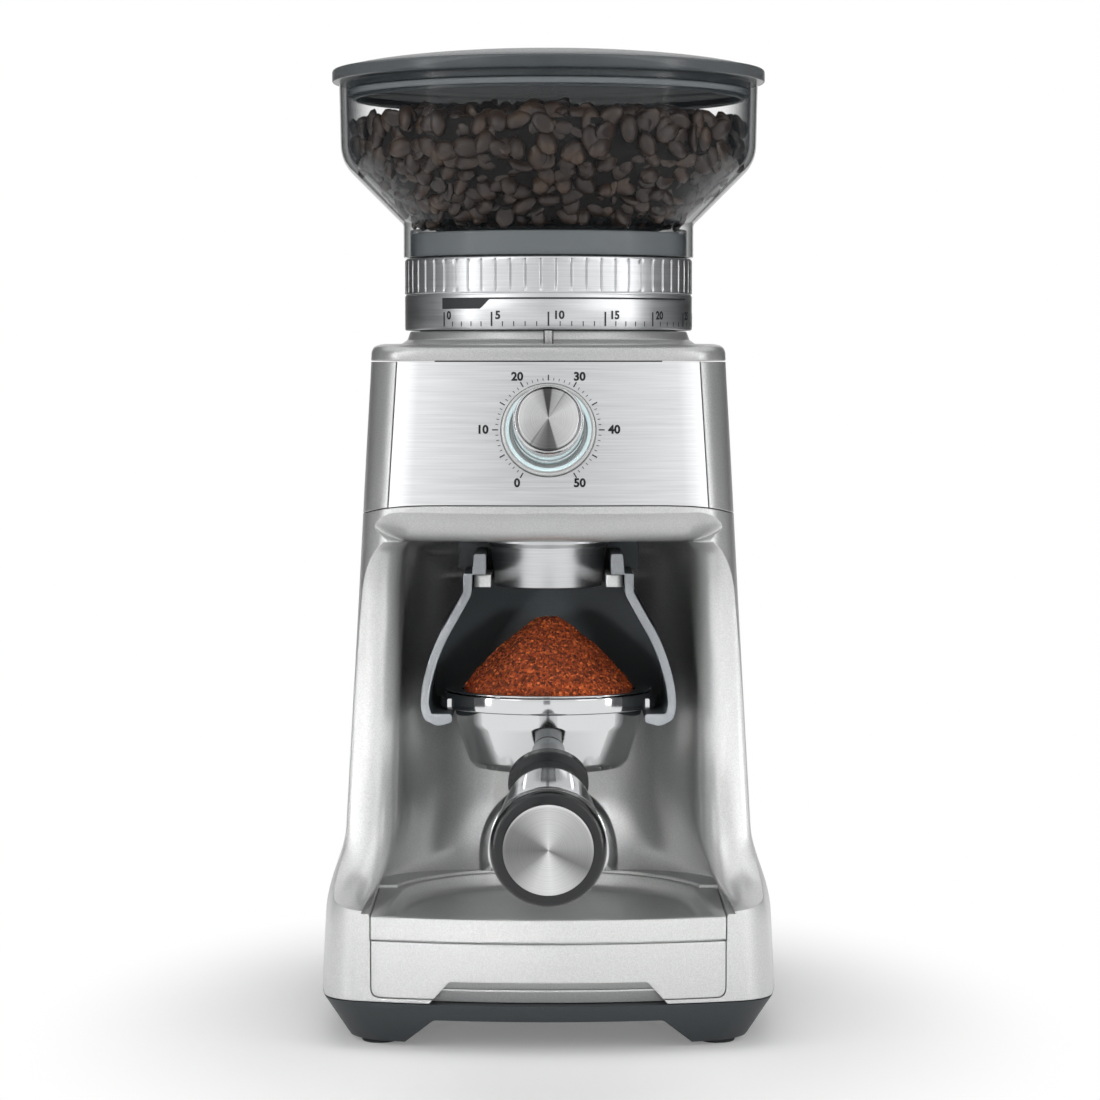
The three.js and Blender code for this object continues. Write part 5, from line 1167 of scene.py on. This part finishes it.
# grinds tray
def dishOutline(wall):
    # side walls that run into the round end without a step
    radius, start = tray["radius"] - wall, math.radians(tray["splay"])
    arc = [(radius * math.cos(a), outlet["y"] + radius * math.sin(a))
           for a in spread(start, math.pi - start, 72)]
    wide = radius + (beyond + outlet["y"]) * math.tan(start)
    return [(-wide, -beyond), (wide, -beyond)] + arc


def grindsTray():
    low, high = tray["low"], tray["high"]
    body = prism("grindsTray", trayOutline(), low, high)
    walls = [(low + 1.6, 6.4), (low + 1.8, 5.3), (low + 2.4, 4.3), (low + 3.4, 3.7), (low + 4.6, 3.4),
             (high - 0.5, 3.2), (high - 0.15, 3.0), (high + 1, 2.4)]
    pocket = wrapped("trayPocket", [[(x, y, z) for x, y in dishOutline(wall)] for z, wall in walls])
    levels = spread(low - 2, high + 2, 5)
    cut(pocket, housingBlock("pocketFront", levels, tray["lip"]), operation="INTERSECT")
    cut(body, housingBlock("trayFront", levels), operation="INTERSECT")
    return eased(cut(body, pocket), 0.3, 2, 45)


finished(grindsTray(), "silver_abs", "tray", "silver_abs", "grinds_tray")
print("tray done")


# portafilter
def portafilterBowl():
    low, rim, ear = bowl["low"], bowl["rim"], bowl["earLow"]
    hole, top = bowl["basket"] + 0.8 + gap, bowl["top"] - 1
    profile = [(5, low, 0), (25, low, 1.2), (26.8, low + 2.2, 3), (bowl["radius"] - 0.5, low + 15, 8),
               (bowl["radius"], ear - 0.2, 0.3), (rim, ear, 0.8), (rim, top, 0.5), (hole, top),
               (hole, low + 14), (hole - 3.6, low + 3.2), (5, low + 2.4), (5, low)]
    body = turned("portafilterBowl", filleted(profile, 0.2, 6), 128, overOutlet)
    over = ear + bowl["earThick"]
    ring = [(rim - 1, ear), (bowl["ear"], ear, 0.5), (bowl["ear"], over, 0.5), (rim - 1, over),
            (rim - 1, ear)]
    ears = turned("ears", filleted(ring, 0, 4), 96, overOutlet)
    for side in (-1, 1):                                 # only two short arcs of the ring stay
        near, far = sorted((outlet["y"] + side * bowl["earHalf"], outlet["y"] + side * 60))
        cut(ears, block("earRoom", -60, 60, near, far, ear - 17, ear + 23))
    return cut(body, ears, operation="UNION")


finished(portafilterBowl(), "polished_steel", "portafilter", "polished_steel", "portafilter_bowl")
r, rim, low, top = bowl["basket"], bowl["rim"], bowl["basketLow"], bowl["top"]
profile = [(0, low), (r - 2.6, low, 2), (r + 0.8, low + 11, 2), (r + 0.8, top - 1 + gap, 0.2),
           (rim - 0.6, top - 1 + gap, 0.2), (rim - 0.4, top - 0.3, 0.3), (rim - 0.8, top, 0.2),
           (r + 0.4, top, 0.3), (r, top - 0.5, 0.3), (r, low + 11), (r - 3.2, low + 0.8), (0, low + 0.8)]
finished(turned("filterBasket", filleted(profile, 0.2, 4), 128, overOutlet), "polished_steel", "portafilter",
         "polished_steel", "filter_basket")


heap = {"high": 24.5, "radius": 28.6, "foot": bowl["top"] - 0.6, "depth": 14, "across": 240, "rings": 84,
        "crumbs": 1500, "seed": 11,
        "rise": [(0, 24.5), (2.5, 24.1325), (6.5, 22.05), (12, 17.64), (17.5, 12.985), (22, 8.33),
                 (25.5, 4.6), (27.2, 2.2), (28.6, 0.3)]}


def heapAt(r):
    return through(heap["rise"], r)


def heapSpot(x, y):
    # the cone's surface, roughened by lumps, grains and crumbs that fade at its tip and foot
    spot, r = Vector((x, y, 0)), math.hypot(x, y)
    coarse = noise.noise(spot * 0.16 + Vector((3, 7, 1)))
    medium = noise.noise(spot * 0.55 + Vector((1, 2, 5)))
    fine = noise.cell(spot * 1.1 + Vector((9, 4, 2))) - 0.5
    grain = noise.noise(spot * 1.7 + Vector((4, 4, 8)))
    fade = min(1, r / 3) * min(1, (heap["radius"] + 0.2 - r) / 2)
    rise = heapAt(r) + (coarse * 1.1 + medium * 0.65 + grain * 0.5 + fine * 0.3) * fade
    return x, outlet["y"] + y, heap["foot"] + min(rise, heap["high"])


def groundCoffee():
    # rings of a finely divided cone, closed below, and loose crumbs on it
    turns = [2 * math.pi * i / heap["across"] for i in range(heap["across"])]
    radii = [heap["radius"] * (1 - i / heap["rings"]) for i in range(heap["rings"])] + [0]
    rings = [[heapSpot(r * math.cos(t), r * math.sin(t)) for t in turns] for r in radii]
    cone = wrapped("groundCoffee", rings, capEnds=False)
    bpy.ops.object.mode_set(mode="EDIT")
    bpy.ops.mesh.select_all(action="DESELECT")
    bpy.ops.mesh.select_non_manifold()
    bpy.ops.mesh.extrude_edges_move(TRANSFORM_OT_translate={"value": (0, 0, -heap["depth"] * mm)})
    bpy.ops.mesh.edge_face_add()
    bpy.ops.mesh.select_all(action="SELECT")
    bpy.ops.mesh.normals_make_consistent(inside=False)
    draw = random.Random(heap["seed"])
    pick()
    bpy.ops.mesh.primitive_ico_sphere_add(subdivisions=1, radius=mm / 2)
    crumb = bpy.context.object
    copies = [cone]
    for _ in range(heap["crumbs"]):
        turn, r = draw.uniform(0, 2 * math.pi), (heap["radius"] - 0.4) * math.sqrt(draw.uniform(0, 1))
        size = draw.uniform(0.45, 1.15)
        wide, deep = size * draw.uniform(0.7, 1.3), size * draw.uniform(0.7, 1.3)
        stretch = Matrix.Diagonal((wide, deep, size * 0.8, 1))
        rise = min(heapAt(r), heap["high"] - 0.6)
        spin = Matrix.Rotation(draw.uniform(0, 6.28), 4, "Z") @ Matrix.Rotation(draw.uniform(0, 6.28), 4, "X")
        spot = placed(r * math.cos(turn), outlet["y"] + r * math.sin(turn), heap["foot"] + rise)
        copies.append(copyAt(crumb, spot @ spin @ stretch))
    bpy.data.objects.remove(crumb)
    return joinAll("groundCoffee", copies)


finished(groundCoffee(), "grounds_brown", "portafilter", "grounds_brown", "ground_coffee", angle=40)
print("bowl and grounds done")


def tube(name, curve, stations, segments=48):
    # rings round a curve of places; stations are (share of its length, half across, half high)
    lengths = [0]
    for a, b in zip(curve, curve[1:]):
        lengths.append(lengths[-1] + (b - a).length)

    def along(share):
        goal = share * lengths[-1]
        i = max(n for n in range(len(curve) - 1) if lengths[n] <= goal + 1e-9)
        part = (goal - lengths[i]) / (lengths[i + 1] - lengths[i])
        return curve[i].lerp(curve[i + 1], part), (curve[i + 1] - curve[i]).normalized()

    rings = []
    for share, across, high in stations:
        centre, forward = along(share)
        side = Vector((1, 0, 0)) if abs(forward.x) < 0.9 else Vector((0, 1, 0))
        side = (side - forward * side.dot(forward)).normalized()
        up = forward.cross(side)
        rings.append([tuple(centre + side * across * math.cos(a) + up * high * math.sin(a))
                      for a in [2 * math.pi * i / segments for i in range(segments)]])
    return wrapped(name, rings)


spout = {"x": 17.4, "low": 52, "outer": 6.2, "bore": 4.8, "stem": 8.6, "stemLow": 69}


def doubleSpout():
    def branch(sign, radius, extra):
        y = outlet["y"]
        line = bend((0, y, 76 + extra), (sign * 19, y, 73), (sign * spout["x"], y, spout["low"] - extra), 60)
        return tube("branch", line, [(share, radius, radius) for share in spread(0, 1, 24)], 40)

    r, low, top = spout["stem"], spout["stemLow"], bowl["low"] - gap
    stem = turned("doubleSpout", filleted([(0, low), (r, low, 2), (r, top, 0.4), (0, top)], 0, 5), 64,
                  overOutlet)
    cut(stem, branch(1, spout["outer"], 0), branch(-1, spout["outer"], 0), operation="UNION")
    return cut(stem, branch(1, spout["bore"], 0.6), branch(-1, spout["bore"], 0.6),
               rod("stemBore", 5, low + 1, bowl["low"] + 1, overOutlet, 40))


finished(doubleSpout(), "polished_steel", "portafilter", "polished_steel", "double_spout")

handle = {"root": (0, outlet["y"] - bowl["radius"] + 7, 96.6), "bend": (0, -108, 77.5),
          "end": (0, -204, 78.3)}
handleLine = bend(handle["root"], handle["bend"], handle["end"], 160)
# a gap, as a share of its length
seam = gap / sum((b - a).length for a, b in zip(handleLine, handleLine[1:]))


def shaft(name, keys, steps=40, crisp=True):
    # half sizes along the handle as (share, across, high) keys; crisp keeps the keys' own steps
    across, high = [key[:2] for key in keys], [key[::2] for key in keys]
    shares = set(spread(keys[0][0], keys[-1][0], steps)) | {key[0] for key in keys if crisp}
    return tube(name, handleLine, [(s, through(across, s), through(high, s)) for s in sorted(shares)], 72)


neck = shaft("handleNeck", [(0, 5, 5), (0.07, 6.2, 6.8), (0.13, 8, 8.6), (0.186, 10.2, 9.8)], crisp=False)
low, ear = bowl["low"], bowl["earLow"]
clear = [(0, low - 6), (25 + gap, low - 6), (25 + gap, low, 1.2), (26.8 + gap, low + 2.2, 3),
         (31 + gap, low + 15, 8), (bowl["radius"] + gap, ear), (0, ear)]
finished(cut(neck, turned("bowlRoom", filleted(clear, 0, 6), 96, overOutlet)), "cast_grey", "portafilter",
         "polished_steel", "handle_neck")


# the ring's ends, half width and rounded shoulders
start, stop, r, edge = 0.186 + seam, 0.222, 13.1, 0.0035
ringKeys = [(start, r - 0.5, r - 2.2), (start + edge * 0.3, r - 0.2, r - 1.9), (start + edge, r, r - 1.7),
            (stop - edge, r, r - 1.7), (stop - edge * 0.3, r - 0.2, r - 1.9), (stop, r - 0.5, r - 2.2)]
ferruleKeys = [(0.222 + seam, 10.4, 8.6), (0.26, 11.4, 9), (0.32, 12.8, 9.2), (0.4, 14.2, 9.2),
               (0.48, 15, 9.3), (0.515, 15.2, 9.5), (0.524, 15.2, 9.6), (0.53, 14.8, 9.2)]
gripKeys = [(0.53 + seam, 14.5, 8.8), (0.538, 15.2, 9.5), (0.6, 16, 11.2), (0.7, 16.8, 13),
            (0.78, 17.1, 14.6), (0.9, 17.35, 16.6), (0.945, 17.55, 17.5), (0.962, 17.6, 17.6),
            (0.974, 17.3, 17.3), (0.981, 16.7, 16.7), (0.985, 15.9, 15.9)]
discKeys = [(0.985 + seam, 13.6, 13.6), (0.9965, 13.6, 13.6), (0.9985, 13.2, 13.2), (1, 12.4, 12.4)]
finished(shaft("handleRing", ringKeys), "black_abs", "portafilter", "black_abs", "handle_ring")
finished(shaft("handleFerrule", ferruleKeys), "polished_steel", "portafilter", "polished_steel",
         "handle_ferrule")
finished(shaft("handleGrip", gripKeys, 60), "black_abs", "portafilter", "black_abs", "handle_grip")
# painted highlight and shade round the end disc, share by share of a turn
endPaintedFan = [(0, 0.26), (0.1, 0.36), (0.194, 0.85), (0.264, 1), (0.347, 0.7), (0.43, 0.27), (0.528, 0.55),
          (0.625, 0.7), (0.75, 1), (0.82, 0.75), (0.917, 0.34), (1, 0.26)]
materials["spun_end"] = makeSpunSteel("spunSteelEnd", at(*handle["end"]), math.radians(-91), endPaintedFan)
finished(shaft("handleEndDisc", discKeys, 4), "spun_end", "portafilter", "brushed_steel", "handle_end_disc")
print("handle done")


# camera
cameraView = {"distance": 1278.6, "height": 224.2, "tilt": 3.002, "lens": 118.9, "aside": 0.53}
lensData = bpy.data.cameras.new("camera")
lensData.lens = cameraView["lens"]
camera = bpy.data.objects.new("camera", lensData)
bpy.context.scene.collection.objects.link(camera)
camera.location = at(cameraView["aside"], -cameraView["distance"], cameraView["height"])
camera.rotation_euler = (math.radians(90 - cameraView["tilt"]), 0, 0)
bpy.context.scene.camera = camera

# studio, in metres and watts
# lamps and cards: place, size, then power or shade; a name with Both stands on either side
lamps = {"keyLamp": ((-1.25, -1.3, 1.0), (0.8, 1.2), 3.6), "fillLamp": ((1.25, -1.3, 0.9), (0.8, 1.2), 2.6),
         "topLamp": ((0, -0.1, 1.8), (1.6, 1.2), 6.0), "frontLamp": ((0, -1.7, 0.6), (1.6, 1.0), 4.0),
         "spotBoth": ((0.36, -1.0, 0.11), (0.22, 0.12), 0.085),
         "stripBoth": ((1.25, -0.5, 0.35), (0.15, 0.8), 1.8)}
cards = {"sideCardBoth": ((0.9, 0.05, 0.25), (0.7, 1.0), 0.12),
         "rearCardBoth": ((0.7, 0.8, 0.25), (0.9, 1.3), 0.015), "topCard": ((0, 0.1, 1.3), (0.9, 0.9), 0.08),
         "frontCard": ((-0.06, -2.0, 0.45), (0.26, 1.6), 0.3)}
worldLevel = {"gloss": 0.9, "light": 0.42}             # the background itself is white
floorFade = {"near": 0.085, "far": 0.18, "lift": 0.16, "oval": (1.0, 0.65, 1.0)}


def everySide(things):
    # each thing once, or at left and right
    for name, (place, size, level) in things.items():
        for side, sign in ((("Left", -1), ("Right", 1)) if name.endswith("Both") else (("", 1),)):
            yield name.replace("Both", "") + side, (sign * place[0], *place[1:]), size, level


def aimed(obj, place, target=(0, 0, 0.18)):
    obj.location = place
    obj.rotation_euler = (Vector(target) - Vector(place)).to_track_quat("-Z", "Y").to_euler()
    return obj


for name, place, size, power in everySide(lamps):
    data = bpy.data.lights.new(name, "AREA")
    data.shape = "RECTANGLE"
    data.size, data.size_y = size
    data.energy = power
    lamp = bpy.data.objects.new(name, data)
    bpy.context.scene.collection.objects.link(lamp)
    gridded = name.startswith("spot")                    # lights the inside of the alcove only
    lamp.visible_glossy = name != "frontLamp" and not gridded
    if gridded:
        data.spread = math.radians(9)
    aimed(lamp, place, (0, 0.045, 0.085) if gridded else (0, 0, 0.18))

for name, place, size, shade in everySide(cards):
    # dark cards that only reflections see
    material = bpy.data.materials.new(name)
    material.use_nodes = True
    tree = material.node_tree
    glow = addNode(tree, "ShaderNodeEmission", {"Color": (shade, shade, shade * 1.04, 1), "Strength": 1.0})
    tree.links.new(glow, tree.nodes["Material Output"].inputs["Surface"])
    pick()
    bpy.ops.mesh.primitive_plane_add(size=1)
    card = bpy.context.object
    card.name = name
    card.scale = (*size, 1)
    aimed(card, place)
    card.data.materials.append(material)
    card.visible_camera = card.visible_diffuse = card.visible_shadow = card.visible_transmission = False

world = bpy.data.worlds.new("studioWorld")
bpy.context.scene.world = world
world.use_nodes = True
tree = world.node_tree
path = addNode(tree, "ShaderNodeLightPath").node.outputs
seen = addNode(tree, "ShaderNodeMath", {0: path["Is Camera Ray"], 1: path["Is Transmission Ray"]},
               operation="MAXIMUM")
gloss = addNode(tree, "ShaderNodeMath", {0: path["Is Glossy Ray"], 1: worldLevel["gloss"]},
                operation="MULTIPLY")
others = addNode(tree, "ShaderNodeMath", {0: gloss, 1: worldLevel["light"]}, operation="MAXIMUM")
level = addNode(tree, "ShaderNodeMath", {0: seen, 1: others}, operation="MAXIMUM")
background = tree.nodes["Background"]
background.inputs["Color"].default_value = (1, 1, 1, 1)
tree.links.new(level, background.inputs["Strength"])

pick()
bpy.ops.mesh.primitive_plane_add(size=12, location=(0, 0, 0))
floor = bpy.context.object
floor.name = "floor"
# white card, matt: takes a soft shadow near the feet and fades to plain white further out
dull = {"Specular_IOR_Level": 0.0, "Emission_Color": (1, 1, 1, 1)}
material, tree, place = newMaterial("whitePaperSweep", "#f6f6f6", 0.95, **dull)
paper = tree.nodes["Principled BSDF"]
oval = addNode(tree, "ShaderNodeVectorMath", {0: place, 1: floorFade["oval"]}, operation="MULTIPLY")
far = addNode(tree, "ShaderNodeVectorMath", {0: oval}, out="Value", operation="LENGTH")
fade = addNode(tree, "ShaderNodeMapRange",
               {"Value": far, "From Min": floorFade["near"], "From Max": floorFade["far"]},
               interpolation_type="SMOOTHSTEP")
path = addNode(tree, "ShaderNodeLightPath").node.outputs
seen = addNode(tree, "ShaderNodeMath", {0: path["Is Camera Ray"], 1: path["Is Glossy Ray"]},
               operation="MAXIMUM")
seen = addNode(tree, "ShaderNodeMath", {0: seen, 1: path["Is Transmission Ray"]}, operation="MAXIMUM")
lift = addNode(tree, "ShaderNodeMath", {0: seen, 1: floorFade["lift"]}, operation="MULTIPLY")
tree.links.new(lift, paper.inputs["Emission Strength"])
white = addNode(tree, "ShaderNodeEmission", {"Color": (1, 1, 1, 1), "Strength": 1.0})
share = addNode(tree, "ShaderNodeMath", {0: fade, 1: seen}, operation="MULTIPLY")
mixed = addNode(tree, "ShaderNodeMixShader", {0: share, 1: paper.outputs["BSDF"], 2: white})
tree.links.new(mixed, tree.nodes["Material Output"].inputs["Surface"])
floor.data.materials.append(material)

bpy.context.scene.view_settings.view_transform = "Standard"
